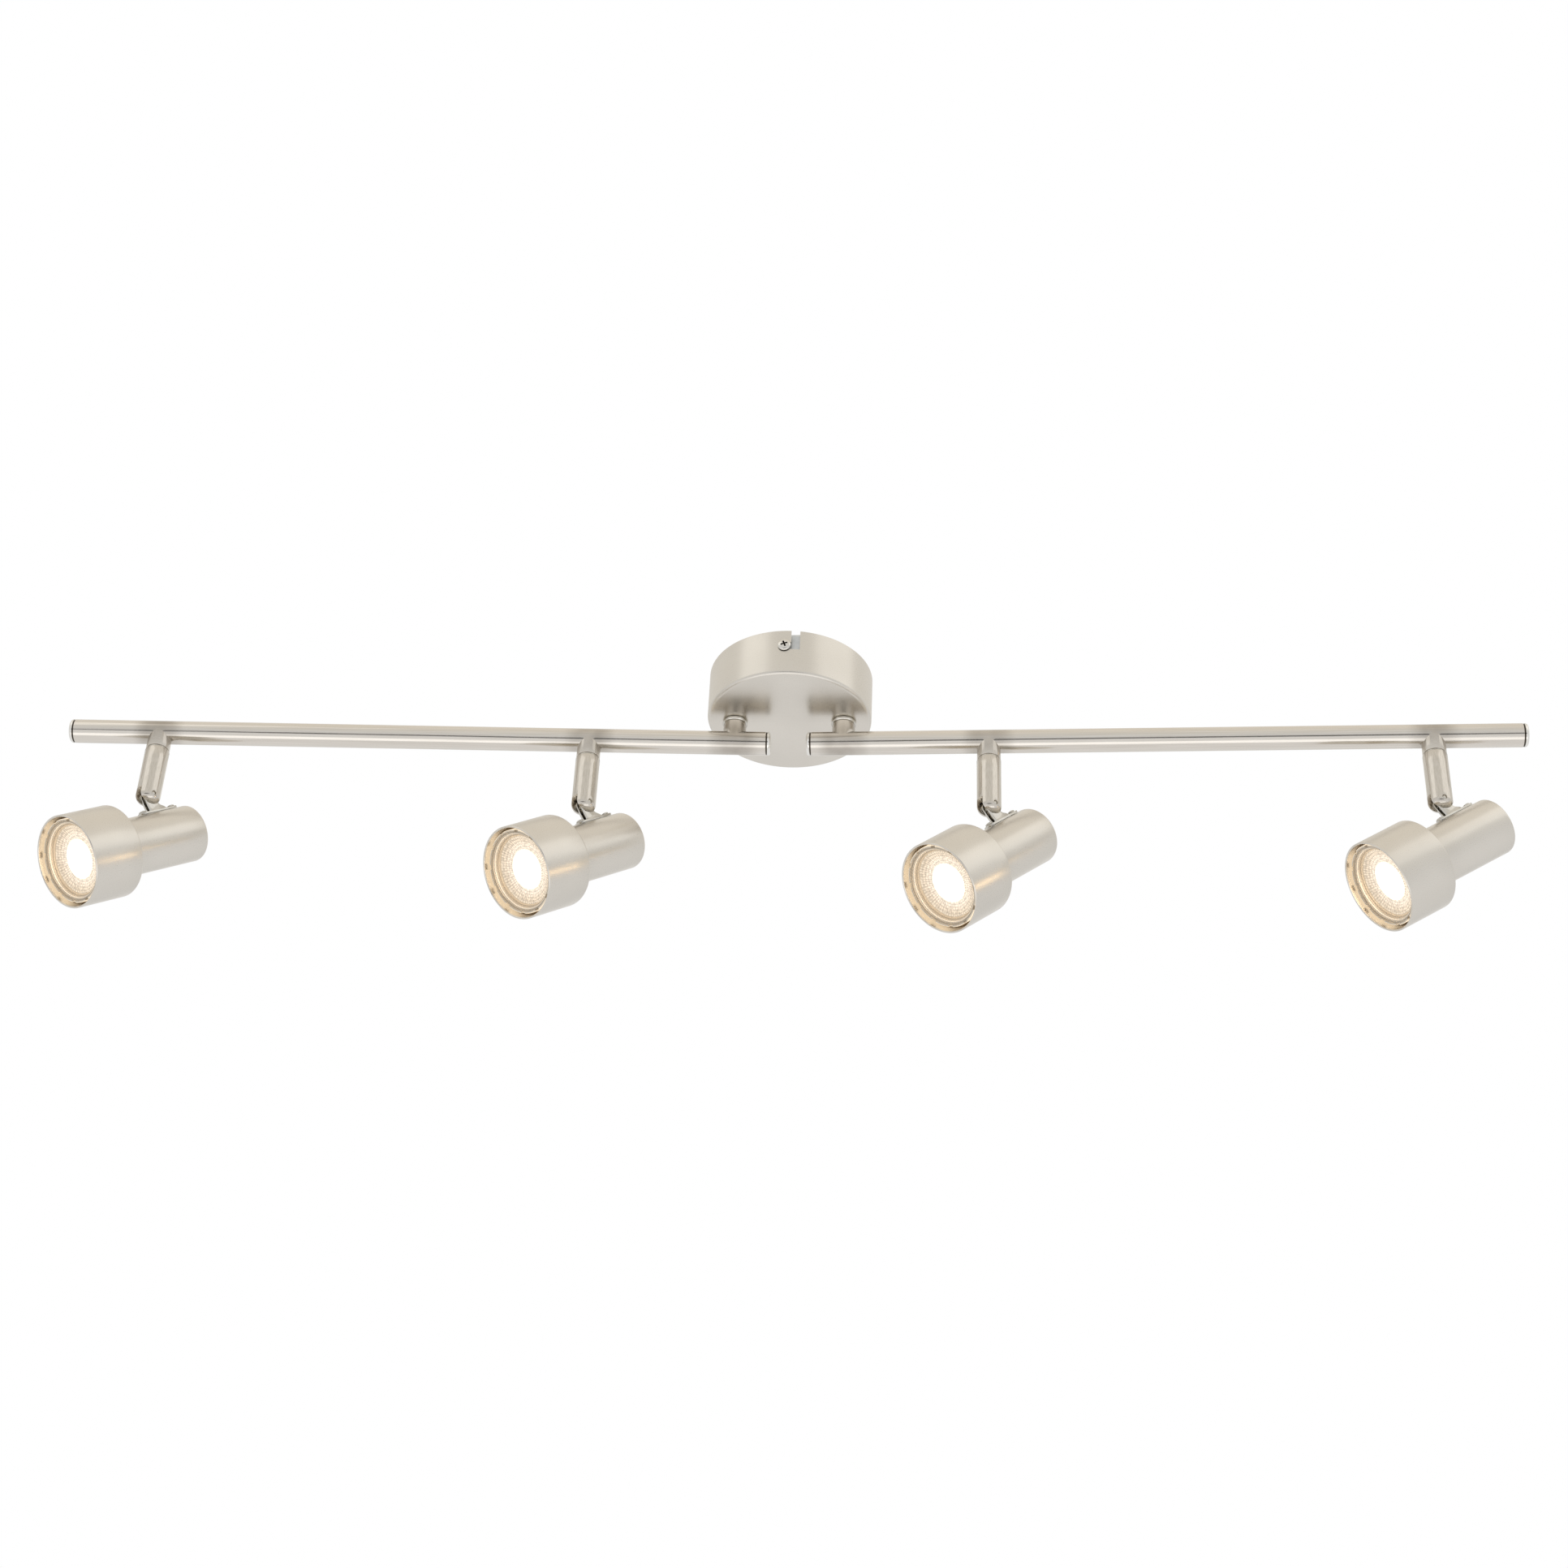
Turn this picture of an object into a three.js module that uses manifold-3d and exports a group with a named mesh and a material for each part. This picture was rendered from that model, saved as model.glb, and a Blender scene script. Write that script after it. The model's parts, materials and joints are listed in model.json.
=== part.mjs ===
// Four-spot ceiling bar. A round ceiling rose carries two swivelling rails. Each rail carries two
// turning stems, and a spot head for a twist-in reflector lamp tilts on a pin in each stem.
// Millimetres, +Z up. The origin is the centre of the face against the ceiling; the rails run along X.
import * as THREE from 'three';
import { mergeVertices } from 'three/addons/utils/BufferGeometryUtils.js';
import Module from 'manifold-3d';

const wasm = await Module();
wasm.setup();

// Running gap left between pieces that touch on the real lamp.
const GAP = 0.3;

// Ceiling rose: a pressed cup, hung on two side screws that slide into L-shaped notches in its rim.
const ROSE_RADIUS = 50;
const ROSE_HEIGHT = 32.4;
const ROSE_WALL = 1.2;
const ROSE_CORNER = 2.4;
const RIM_CLEARANCE = 0.4;
const NOTCH_WIDTH = 5.3;
const NOTCH_DEPTH = 14.3;
const NOTCH_TURN = 5.9;
const SIDE_SCREW_TURN = -1.8;
const SIDE_SCREW_Z = -11.6;

// Strip bracket that is screwed to the ceiling box.
const BRACKET_THICKNESS = 1.8;
const BRACKET_WIDTH = 22;
const BRACKET_HALF_LENGTH = 46.6;
const BRACKET_EAR = 17;
const CEILING_SLOT_Y = 28;

// Swivel posts between the rose and the rails.
const POST_X = 33.15;
const NIPPLE_RADIUS = 4.9;
const NIPPLE_BORE = 3.4;
const NIPPLE_TOP = -23.5;
const POST_WASHER_RADIUS = 7.55;
const POST_WASHER_HEIGHT = 2.3;
const POST_BOSS_RADIUS = 6.9;

// Rails: round tubes with soldered bosses, closed by turned caps.
const RAIL_RADIUS = 7.2;
const RAIL_WALL = 1.1;
const RAIL_Z = -48.1;
const RAIL_OUTER_END = 404.2;
const RAIL_INNER_END = -19.5;
const RAIL_REST_TURN = 1.5;
const CAP_LENGTH = 2.8;
const CAP_PLUG_LENGTH = 5;

// Turning stems under the rails.
const BOSS_RADIUS = 7.1;
const BOSS_BOTTOM = -61.4;
const SPIGOT_RADIUS = 4.1;
const SPIGOT_BORE = 2.6;
const SPIGOT_BOTTOM = -80;
const STEM_RADIUS = 7.3;
const STEM_TOP = -62.2;
const STEM_BOTTOM = -100.8;
const STEM_BORE = 4.5;
const STEM_BORE_BOTTOM = -84;
const STEM_NOSE_RADIUS = 5;
const SLOT_WIDTH = 5.8;

// Tilt knuckle. The head's own frame has its origin on the pin, +X towards the lamp's face and
// +Z from the head's axis towards the stem.
const PIVOT_Z = -96;
const PIN_RADIUS = 1.3;
const PIN_HALF_LENGTH = 6.7;
const AXIS_DROP = 27.7;
const HEAD_REACH = 38.6;
const KNUCKLE_SETBACK = 2.3;
const PLATE_LENGTH = 26.6;
const PLATE_WIDTH = 8.4;
const PLATE_THICKNESS = 1.2;
const CHEEK_THICKNESS = 1.4;
const CHEEK_GAP = 2.4;
const TONGUE_RADIUS = 3.8;
const SCREW_OFFSET = 10.6;

// Spot head: lengths run along the lamp's axis from the shoulder between can and cup.
const CAN_RADIUS = 17.1;
const CAN_LENGTH = 57.8;
const CUP_RADIUS = 27.6;
const CUP_LENGTH = 33.6;
const SHELL_WALL = 1.1;

// Twist-in reflector lamp, 50 mm across, and its ceramic holder.
const LAMP_RADIUS = 24.9;
const LAMP_FACE = CUP_LENGTH - 2.8;
const LAMP_BASE = -15.7;
const LAMP_BASE_RADIUS = 12.8;
const LAMP_WINDOW_RADIUS = 20.6;
const LAMP_PIN_OFFSET = 5;
const HOLDER_RADIUS = 12.2;
const HOLDER_LENGTH = 18;

const SPOTS = [
  { name: 'left_outer', rail: 'left', along: 351.4, turn: -135.0, tilt: 36.6 },
  { name: 'left_inner', rail: 'left', along: 88, turn: -138.6, tilt: 36.6 },
  { name: 'right_inner', rail: 'right', along: 88, turn: -147.2, tilt: 41.9 },
  { name: 'right_outer', rail: 'right', along: 351.4, turn: -168.7, tilt: 34.7 },
];
const RAIL_TURNS = { left: 180 + RAIL_REST_TURN, right: -RAIL_REST_TURN };

const FINISHES = {
  satin_nickel: { color: 0xc9c3b8, roughness: 0.32, metalness: 1 },
  brushed_nickel: { color: 0xbfb8ac, roughness: 0.3, metalness: 1 },
  bright_nickel: { color: 0xdad7d0, roughness: 0.12, metalness: 1 },
  zinc_steel: { color: 0xb4b6b8, roughness: 0.4, metalness: 1 },
  brass: { color: 0xc8a24a, roughness: 0.35, metalness: 1 },
  white_nylon: { color: 0xe8e6df, roughness: 0.5, metalness: 0 },
  steatite: { color: 0xe9e4d8, roughness: 0.55, metalness: 0 },
  lamp_plastic: { color: 0xe4e1da, roughness: 0.3, metalness: 0 },
  lamp_window: { color: 0xfff3dc, roughness: 0.15, metalness: 0 },
};

function finish(name) {
  return new THREE.MeshStandardMaterial({ name, ...FINISHES[name] });
}

// A closed manifold solid from any closed three.js geometry.
function solid(geometry) {
  const loose = geometry.index ? geometry.toNonIndexed() : geometry;
  const bare = new THREE.BufferGeometry();
  bare.setAttribute('position', loose.getAttribute('position'));
  const merged = mergeVertices(bare, 1e-4);
  const corners = merged.index.array;
  const triangles = [];
  for (let i = 0; i < corners.length; i += 3) {
    const [a, b, c] = corners.slice(i, i + 3);
    if (a !== b && b !== c && c !== a) {
      triangles.push(a, b, c);
    }
  }
  return new wasm.Manifold(new wasm.Mesh({
    numProp: 3,
    vertProperties: new Float32Array(merged.getAttribute('position').array),
    triVerts: new Uint32Array(triangles),
  }));
}

function part(name, shape, material) {
  const mesh = shape.getMesh();
  const geometry = new THREE.BufferGeometry();
  geometry.setAttribute('position', new THREE.BufferAttribute(mesh.vertProperties, 3));
  geometry.setIndex(new THREE.BufferAttribute(mesh.triVerts, 1));
  geometry.computeVertexNormals();
  const node = new THREE.Mesh(geometry, finish(material));
  node.name = name;
  return node;
}

// A turned piece about Z, from [radius, height] points in either order.
function turned(profile, segments = 24) {
  const points = profile.map(([radius, height]) => new THREE.Vector2(radius, height));
  const loop = THREE.ShapeUtils.area(points) < 0 ? points.reverse() : points;
  if (profile.every(([radius]) => radius > 0)) {
    loop.push(loop[0].clone());
  }
  return solid(new THREE.LatheGeometry(loop, segments).rotateX(Math.PI / 2));
}

function rod(radius, bottom, top, segments = 16) {
  return turned([[0, bottom], [radius, bottom], [radius, top], [0, top]], segments);
}

function tube(radius, bore, bottom, top, segments = 20) {
  return turned([[bore, bottom], [radius, bottom], [radius, top], [bore, top]], segments);
}

function block(width, depth, height, x, y, z) {
  return solid(new THREE.BoxGeometry(width, depth, height)).translate([x, y, z]);
}

// Points along a round corner in a profile, angles in degrees.
function corner(centreX, centreY, radius, from, to, steps = 4) {
  return Array.from({ length: steps + 1 }, (_, i) => {
    const angle = THREE.MathUtils.degToRad(from + (to - from) * i / steps);
    return [centreX + radius * Math.cos(angle), centreY + radius * Math.sin(angle)];
  });
}

function outline(points) {
  return new THREE.Shape(points.map(([x, y]) => new THREE.Vector2(x, y)));
}

function extruded(points, depth) {
  return solid(new THREE.ExtrudeGeometry(outline(points), { depth, bevelEnabled: false }));
}

function group(x, y, z, turn = 0) {
  const holder = new THREE.Group();
  holder.position.set(x, y, z);
  holder.rotation.z = THREE.MathUtils.degToRad(turn);
  return holder;
}

// Pan-head screw about Z: the head sits on z = 0 and rises to +Z, the shank runs down.
function panScrew(headRadius, headHeight, shankRadius, length) {
  const dome = corner(0, 0, 1, 20, 90, 2).map(([x, y]) => [headRadius * x, headHeight * y]);
  return turned([[0, -length], [shankRadius, -length], [shankRadius, 0], [headRadius, 0], ...dome], 12);
}

// ---- Ceiling rose ----

function ceilingBracket() {
  const top = 0;
  const under = -BRACKET_THICKNESS;
  const end = BRACKET_HALF_LENGTH;
  const inner = end - BRACKET_THICKNESS;
  const side = [
    ...corner(-end + 2.6, top - 2.6, 2.6, 180, 90),
    ...corner(end - 2.6, top - 2.6, 2.6, 90, 0),
    [end, -BRACKET_EAR],
    [inner, -BRACKET_EAR],
    ...corner(inner - 0.8, under - 0.8, 0.8, 0, 90, 2),
    ...corner(-inner + 0.8, under - 0.8, 0.8, 90, 180, 2),
    [-inner, -BRACKET_EAR],
    [-end, -BRACKET_EAR],
  ];
  const strip = extruded(side, BRACKET_WIDTH)
    .translate([0, 0, -BRACKET_WIDTH / 2])
    .rotate([90, 0, 90]);
  let shape = strip;
  for (const way of [-1, 1]) {
    const slot = rod(2.4, -4, 2).translate([-4, way * CEILING_SLOT_Y, 0])
      .add(rod(2.4, -4, 2).translate([4, way * CEILING_SLOT_Y, 0]))
      .add(block(8, 4.8, 6, 0, way * CEILING_SLOT_Y, -1));
    const screwHole = rod(2.2, 0, 6).rotate([-90, 0, 0]).translate([0, way * end - 3, SIDE_SCREW_Z]);
    const earTrim = block(8, 10, 16, way * 13.2, end, -11).add(block(8, 10, 16, way * 13.2, -end, -11));
    shape = shape.subtract(slot).subtract(screwHole).subtract(earTrim);
  }
  const earthHole = rod(2.2, -4, 2).translate([0, 38.5, 0]);
  return shape.subtract(earthHole).rotate([0, 0, SIDE_SCREW_TURN]);
}

// L-shaped notch: down from the rim, then round to the screw's seat.
function bayonetNotch() {
  const seat = -NOTCH_DEPTH + NOTCH_WIDTH / 2;
  const entry = block(NOTCH_WIDTH, 8, NOTCH_DEPTH + 2, 0, -ROSE_RADIUS, -NOTCH_DEPTH / 2 + 1)
    .rotate([0, 0, NOTCH_TURN]);
  const run = corner(0, 0, ROSE_RADIUS + 4, -90 + SIDE_SCREW_TURN, -90 + NOTCH_TURN)
    .concat(corner(0, 0, ROSE_RADIUS - 4, -90 + NOTCH_TURN, -90 + SIDE_SCREW_TURN));
  const leg = extruded(run, NOTCH_WIDTH).translate([0, 0, -NOTCH_DEPTH]);
  const end = rod(NOTCH_WIDTH / 2, -4, 4).rotate([90, 0, 0])
    .translate([0, -ROSE_RADIUS, seat])
    .rotate([0, 0, SIDE_SCREW_TURN]);
  return entry.add(leg).add(end);
}

function roseCover() {
  const inside = ROSE_RADIUS - ROSE_WALL;
  const insideCorner = ROSE_CORNER - ROSE_WALL;
  const floor = -ROSE_HEIGHT + ROSE_WALL;
  let shape = turned([
    [0, -ROSE_HEIGHT],
    ...corner(ROSE_RADIUS - ROSE_CORNER, -ROSE_HEIGHT + ROSE_CORNER, ROSE_CORNER, -90, 0),
    [ROSE_RADIUS, -RIM_CLEARANCE],
    [inside, -RIM_CLEARANCE],
    ...corner(inside - insideCorner, floor + insideCorner, insideCorner, 0, -90, 2),
    [0, floor],
  ], 48);
  for (const way of [0, 180]) {
    const postHole = rod(NIPPLE_RADIUS + GAP, -ROSE_HEIGHT - 2, -ROSE_HEIGHT + 4, 20);
    shape = shape
      .subtract(bayonetNotch().rotate([0, 0, way]))
      .subtract(postHole.translate([POST_X, 0, 0]).rotate([0, 0, way]));
  }
  return shape;
}

function terminalBlock() {
  let shape = block(17, 30, 11, 0, 0, -BRACKET_THICKNESS - GAP - 5.5);
  for (const y of [-10, 0, 10]) {
    const wireWay = rod(1.8, -10, 10, 10).rotate([0, 90, 0]).translate([0, y, -9]);
    const screwWell = rod(1.9, -16, -9, 10);
    shape = shape.subtract(wireWay)
      .subtract(screwWell.translate([-5, y, 0]))
      .subtract(screwWell.translate([5, y, 0]));
  }
  return shape.rotate([0, 0, SIDE_SCREW_TURN]);
}

function sideScrew(way) {
  return panScrew(4, 2.1, 1.9, 11)
    .rotate([90, 0, 0])
    .translate([0, -ROSE_RADIUS - GAP / 2, SIDE_SCREW_Z])
    .rotate([0, 0, SIDE_SCREW_TURN + way]);
}

function earthScrew() {
  return panScrew(3.6, 1.8, 1.8, 2)
    .rotate([180, 0, 0])
    .translate([0, 38.5, -BRACKET_THICKNESS - GAP])
    .rotate([0, 0, SIDE_SCREW_TURN]);
}

function roseGroup() {
  const rose = group(0, 0, 0);
  rose.add(part('ceiling_bracket', ceilingBracket(), 'zinc_steel'));
  rose.add(part('rose_cover', roseCover(), 'satin_nickel'));
  rose.add(part('side_screw_front', sideScrew(0), 'bright_nickel'));
  rose.add(part('side_screw_back', sideScrew(180), 'bright_nickel'));
  rose.add(part('terminal_block', terminalBlock(), 'white_nylon'));
  rose.add(part('earth_screw', earthScrew(), 'brass'));
  for (const [side, x] of [['left', -POST_X], ['right', POST_X]]) {
    const floor = -ROSE_HEIGHT + ROSE_WALL;
    const bore = NIPPLE_RADIUS + GAP;
    const friction = tube(8.4, bore, floor + 0.3, floor + 1.3);
    const top = -ROSE_HEIGHT - 0.15;
    const bottom = top - POST_WASHER_HEIGHT;
    const ring = turned([
      [bore, bottom],
      [POST_WASHER_RADIUS - 0.5, bottom],
      [POST_WASHER_RADIUS, bottom + 0.5],
      [POST_WASHER_RADIUS, top - 0.5],
      [POST_WASHER_RADIUS - 0.5, top],
      [bore, top],
    ]);
    rose.add(part(`friction_washer_${side}`, friction.translate([x, 0, 0]), 'white_nylon'));
    rose.add(part(`post_washer_${side}`, ring.translate([x, 0, 0]), 'bright_nickel'));
  }
  return rose;
}

// ---- Rails, in a frame on the post's axis with +X towards the rail's far end ----

function railTube(stations) {
  const postTop = -ROSE_HEIGHT - 0.3 - POST_WASHER_HEIGHT;
  const length = RAIL_OUTER_END - RAIL_INNER_END;
  const along = (shape) => shape.rotate([0, 90, 0]).translate([RAIL_INNER_END, 0, RAIL_Z]);
  let shape = along(rod(RAIL_RADIUS, 0, length, 28));
  shape = shape.add(turned([
    [0, RAIL_Z],
    [POST_BOSS_RADIUS, RAIL_Z],
    [POST_BOSS_RADIUS, postTop - 0.4],
    [POST_BOSS_RADIUS - 0.4, postTop],
    [0, postTop],
  ]));
  for (const x of stations) {
    shape = shape.add(turned([
      [0, BOSS_BOTTOM],
      [BOSS_RADIUS - 0.5, BOSS_BOTTOM],
      [BOSS_RADIUS, BOSS_BOTTOM + 0.5],
      [BOSS_RADIUS, RAIL_Z],
      [0, RAIL_Z],
    ]).translate([x, 0, 0]));
  }
  shape = shape.subtract(along(rod(RAIL_RADIUS - RAIL_WALL, -2, length + 2, 20)));
  shape = shape.subtract(rod(NIPPLE_RADIUS + GAP, RAIL_Z, postTop + 2, 20));
  for (const x of stations) {
    const spigot = rod(SPIGOT_RADIUS, SPIGOT_BOTTOM, BOSS_BOTTOM + 1);
    const wireWay = rod(SPIGOT_BORE, SPIGOT_BOTTOM - 2, RAIL_Z, 12);
    shape = shape.add(spigot.translate([x, 0, 0])).subtract(wireWay.translate([x, 0, 0]));
  }
  return shape;
}

// Turned cap about X: a lens-shaped button outside and a plug inside the tube.
function railCap() {
  const plug = RAIL_RADIUS - RAIL_WALL - 0.2;
  return turned([
    [0, -CAP_PLUG_LENGTH],
    [plug, -CAP_PLUG_LENGTH],
    [plug, 0.15],
    [RAIL_RADIUS, 0.15],
    ...corner(RAIL_RADIUS - 1.8, CAP_LENGTH - 1.8, 1.8, 0, 90, 3),
    [0, CAP_LENGTH],
  ], 20).rotate([0, 90, 0]);
}

function hexNut(radius, bore, bottom, top) {
  const hexagon = Array.from({ length: 6 }, (_, i) => {
    const angle = i * Math.PI / 3;
    return [radius * Math.cos(angle), radius * Math.sin(angle)];
  });
  return extruded(hexagon, top - bottom).translate([0, 0, bottom]).subtract(rod(bore, bottom - 1, top + 1));
}

function railGroup(side) {
  const spots = SPOTS.filter((spot) => spot.rail === side);
  const x = side === 'left' ? -POST_X : POST_X;
  const rail = group(x, 0, 0, RAIL_TURNS[side]);
  const nutBottom = -ROSE_HEIGHT + ROSE_WALL + 1.6;
  const cap = railCap();
  const outerCap = cap.translate([RAIL_OUTER_END, 0, RAIL_Z]);
  const innerCap = cap.rotate([0, 0, 180]).translate([RAIL_INNER_END, 0, RAIL_Z]);
  rail.add(part(`rail_${side}`, railTube(spots.map((spot) => spot.along)), 'brushed_nickel'));
  rail.add(part(`rail_cap_${side}_outer`, outerCap, 'bright_nickel'));
  rail.add(part(`rail_cap_${side}_inner`, innerCap, 'bright_nickel'));
  rail.add(part(`post_nipple_${side}`, tube(NIPPLE_RADIUS, NIPPLE_BORE, RAIL_Z + 5.6, NIPPLE_TOP), 'brass'));
  rail.add(part(`post_nut_${side}`, hexNut(8.1, NIPPLE_RADIUS + 0.2, nutBottom, nutBottom + 4), 'brass'));
  for (const spot of spots) {
    const stem = group(spot.along, 0, 0, spot.turn - RAIL_TURNS[side]);
    addStem(stem, spot.name);
    stem.add(headGroup(spot));
    rail.add(stem);
  }
  return rail;
}

// ---- Stems, in a frame on the stem's axis with +X towards the lamp's face ----

function stemBody() {
  const nose = STEM_RADIUS - STEM_NOSE_RADIUS;
  const noseCentre = STEM_BOTTOM + 0.2 + STEM_NOSE_RADIUS;
  const outside = turned([
    [0, STEM_BOTTOM],
    ...corner(nose, noseCentre, STEM_NOSE_RADIUS, -90, 0, 5),
    [STEM_RADIUS, STEM_TOP - 0.6],
    [STEM_RADIUS - 0.6, STEM_TOP],
    [0, STEM_TOP],
  ], 28);
  const frontTop = PIVOT_Z + TONGUE_RADIUS + 0.4;
  const backTop = PIVOT_Z + 8.9;
  const below = STEM_BOTTOM - 2;
  const frontSlot = block(20, SLOT_WIDTH, frontTop - below, 0, 0, (frontTop + below) / 2);
  const backSlot = block(10, SLOT_WIDTH, backTop - below, -5, 0, (backTop + below) / 2);
  return outside
    .subtract(rod(STEM_BORE, STEM_BORE_BOTTOM, STEM_TOP + 2, 18))
    .subtract(rod(1.6, PIVOT_Z, STEM_BORE_BOTTOM + 1, 10).translate([1.7, 0, 0]))
    .subtract(frontSlot)
    .subtract(backSlot)
    .subtract(pinRod(PIN_RADIUS + 0.12, 10).translate([0, 0, PIVOT_Z]));
}

function pinRod(radius, halfLength) {
  return rod(radius, -halfLength, halfLength, 14).rotate([90, 0, 0]);
}

function addStem(stem, name) {
  const washer = tube(BOSS_RADIUS - 0.5, SPIGOT_RADIUS + GAP, STEM_TOP + 0.1, BOSS_BOTTOM - 0.1);
  const pin = pinRod(PIN_RADIUS, PIN_HALF_LENGTH).translate([0, 0, PIVOT_Z]);
  stem.add(part(`stem_${name}`, stemBody(), 'brushed_nickel'));
  stem.add(part(`stem_washer_${name}`, washer, 'bright_nickel'));
  stem.add(part(`knuckle_pin_${name}`, pin, 'bright_nickel'));
}

// ---- Spot heads, in the frame on the tilt pin ----

function onLampAxis(shape) {
  return shape.rotate([0, 90, 0]).translate([HEAD_REACH, 0, -AXIS_DROP]);
}

// Pressed bracket: a plate curved to the can and two cheeks that straddle the pin.
function knuckleBracket() {
  const inner = CAN_RADIUS + 0.2;
  const outer = inner + PLATE_THICKNESS;
  const half = PLATE_LENGTH / 2;
  const curved = tube(outer, inner, -half, half, 60).rotate([0, 90, 0]).translate([0, 0, -AXIS_DROP]);
  const plan = [
    ...corner(half - 3, PLATE_WIDTH / 2 - 3, 3, 0, 90, 3),
    ...corner(-half + 3, PLATE_WIDTH / 2 - 3, 3, 90, 180, 3),
    ...corner(-half + 3, -PLATE_WIDTH / 2 + 3, 3, 180, 270, 3),
    ...corner(half - 3, -PLATE_WIDTH / 2 + 3, 3, 270, 360, 3),
  ];
  const plate = curved
    .intersect(extruded(plan, AXIS_DROP).translate([0, 0, -AXIS_DROP]))
    .translate([-KNUCKLE_SETBACK, 0, 0]);
  const foot = -AXIS_DROP + inner + 0.5;
  const wing = -AXIS_DROP + outer + 4;
  const back = -KNUCKLE_SETBACK;
  const cheek = [
    [back + 6, foot],
    [back + 6.3, wing - 1],
    ...corner(0, 0, TONGUE_RADIUS, -15, 180, 6),
    [-TONGUE_RADIUS, wing + 1.4],
    [back - 4.4, wing],
    [back - 5.8, foot],
  ];
  let shape = plate;
  for (const y of [CHEEK_GAP / 2 + CHEEK_THICKNESS, -CHEEK_GAP / 2]) {
    shape = shape.add(extruded(cheek, CHEEK_THICKNESS).rotate([90, 0, 0]).translate([0, y, 0]));
  }
  for (const x of [SCREW_OFFSET, -SCREW_OFFSET]) {
    shape = shape.subtract(rod(1.6, foot - 3, foot + 4, 12).translate([back + x, 0, 0]));
  }
  return shape
    .subtract(pinRod(PIN_RADIUS + 0.12, 6))
    .subtract(rod(1.1, foot - 3, foot + 2, 8).translate([back, 0, 0]));
}

function bracketScrew(offset) {
  const seat = -AXIS_DROP + CAN_RADIUS + 0.2 + PLATE_THICKNESS + 0.1;
  return panScrew(2.3, 1.3, 1.35, 5.2).translate([offset - KNUCKLE_SETBACK, 0, seat]);
}

// Spun shell: a slim can behind the shoulder and a wide open cup in front of it.
function headShell() {
  const canInside = CAN_RADIUS - SHELL_WALL;
  const cupInside = CUP_RADIUS - SHELL_WALL;
  const back = -CAN_LENGTH;
  const shell = onLampAxis(turned([
    [0, back],
    ...corner(CAN_RADIUS - 1.6, back + 1.6, 1.6, -90, 0, 2),
    [CAN_RADIUS, 0],
    ...corner(CUP_RADIUS - 1, 1, 1, -90, 0, 2),
    [CUP_RADIUS, CUP_LENGTH],
    [cupInside, CUP_LENGTH],
    [cupInside, SHELL_WALL],
    [canInside, SHELL_WALL],
    [canInside, back + SHELL_WALL],
    [0, back + SHELL_WALL],
  ], 32));
  const wallMiddle = -AXIS_DROP + CAN_RADIUS;
  let shape = shell.subtract(rod(1.5, wallMiddle - 4, wallMiddle + 4, 8).translate([-KNUCKLE_SETBACK, 0, 0]));
  for (const x of [SCREW_OFFSET, -SCREW_OFFSET]) {
    const hole = rod(1.6, wallMiddle - 4, wallMiddle + 4, 12);
    shape = shape.subtract(hole.translate([x - KNUCKLE_SETBACK, 0, 0]));
  }
  return shape;
}

// Two-pin lamp: heat-sink body, pins at the back and a notched rim round a dished front.
function lampBody() {
  const windowFloor = LAMP_FACE - 8.4;
  let shape = turned([
    [0, LAMP_BASE],
    [LAMP_BASE_RADIUS, LAMP_BASE],
    [LAMP_BASE_RADIUS, 2],
    [LAMP_RADIUS - 3, LAMP_FACE - 9],
    [LAMP_RADIUS, LAMP_FACE - 5.4],
    [LAMP_RADIUS, LAMP_FACE],
    [LAMP_RADIUS - 1.4, LAMP_FACE],
    [LAMP_WINDOW_RADIUS + 1.5, LAMP_FACE - 2.4],
    [LAMP_WINDOW_RADIUS, LAMP_FACE - 4.2],
    [LAMP_WINDOW_RADIUS, windowFloor],
    [0, windowFloor],
  ], 26);
  for (let i = 0; i < 12; i += 1) {
    const notch = block(4, 3.2, 2, LAMP_RADIUS, 0, LAMP_FACE - 0.4);
    shape = shape.subtract(notch.rotate([0, 0, i * 30]));
  }
  for (const x of [-LAMP_PIN_OFFSET, LAMP_PIN_OFFSET]) {
    const pin = turned([
      [0, LAMP_BASE - 7.2],
      [2.4, LAMP_BASE - 7.2],
      [2.4, LAMP_BASE - 3.4],
      [1.5, LAMP_BASE - 3],
      [1.5, LAMP_BASE + 1],
      [0, LAMP_BASE + 1],
    ], 10);
    shape = shape.add(pin.translate([x, 0, 0]));
  }
  return onLampAxis(shape);
}

// Clear front window: a dished ring round a raised middle lens.
function lampLens() {
  const floor = LAMP_FACE - 8.4 + 0.2;
  return onLampAxis(turned([
    [0, floor],
    [LAMP_WINDOW_RADIUS - 0.3, floor],
    [LAMP_WINDOW_RADIUS - 0.3, LAMP_FACE - 4.6],
    [LAMP_WINDOW_RADIUS - 1.3, LAMP_FACE - 4.6],
    [12.8, LAMP_FACE - 7.2],
    [12.2, LAMP_FACE - 6.4],
    ...corner(0, 0, 1, 10, 90, 3).map(([x, y]) => [12 * x, LAMP_FACE - 6.6 + 1.8 * y]),
  ], 26));
}

function lampHolder() {
  const front = LAMP_BASE - 0.3;
  let shape = rod(HOLDER_RADIUS, front - HOLDER_LENGTH, front, 20);
  for (const x of [-LAMP_PIN_OFFSET, LAMP_PIN_OFFSET]) {
    shape = shape.subtract(rod(2.9, front - 9, front + 1, 12).translate([x, 0, 0]));
  }
  const screwX = SCREW_OFFSET - KNUCKLE_SETBACK;
  const padTop = -AXIS_DROP + CAN_RADIUS - SHELL_WALL - 0.6;
  const pad = block(6.5, 7, 8, screwX, 0, padTop - 4);
  const hole = rod(1.6, padTop - 6, padTop + 1, 10).translate([screwX, 0, 0]);
  return onLampAxis(shape).add(pad).subtract(hole);
}

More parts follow.
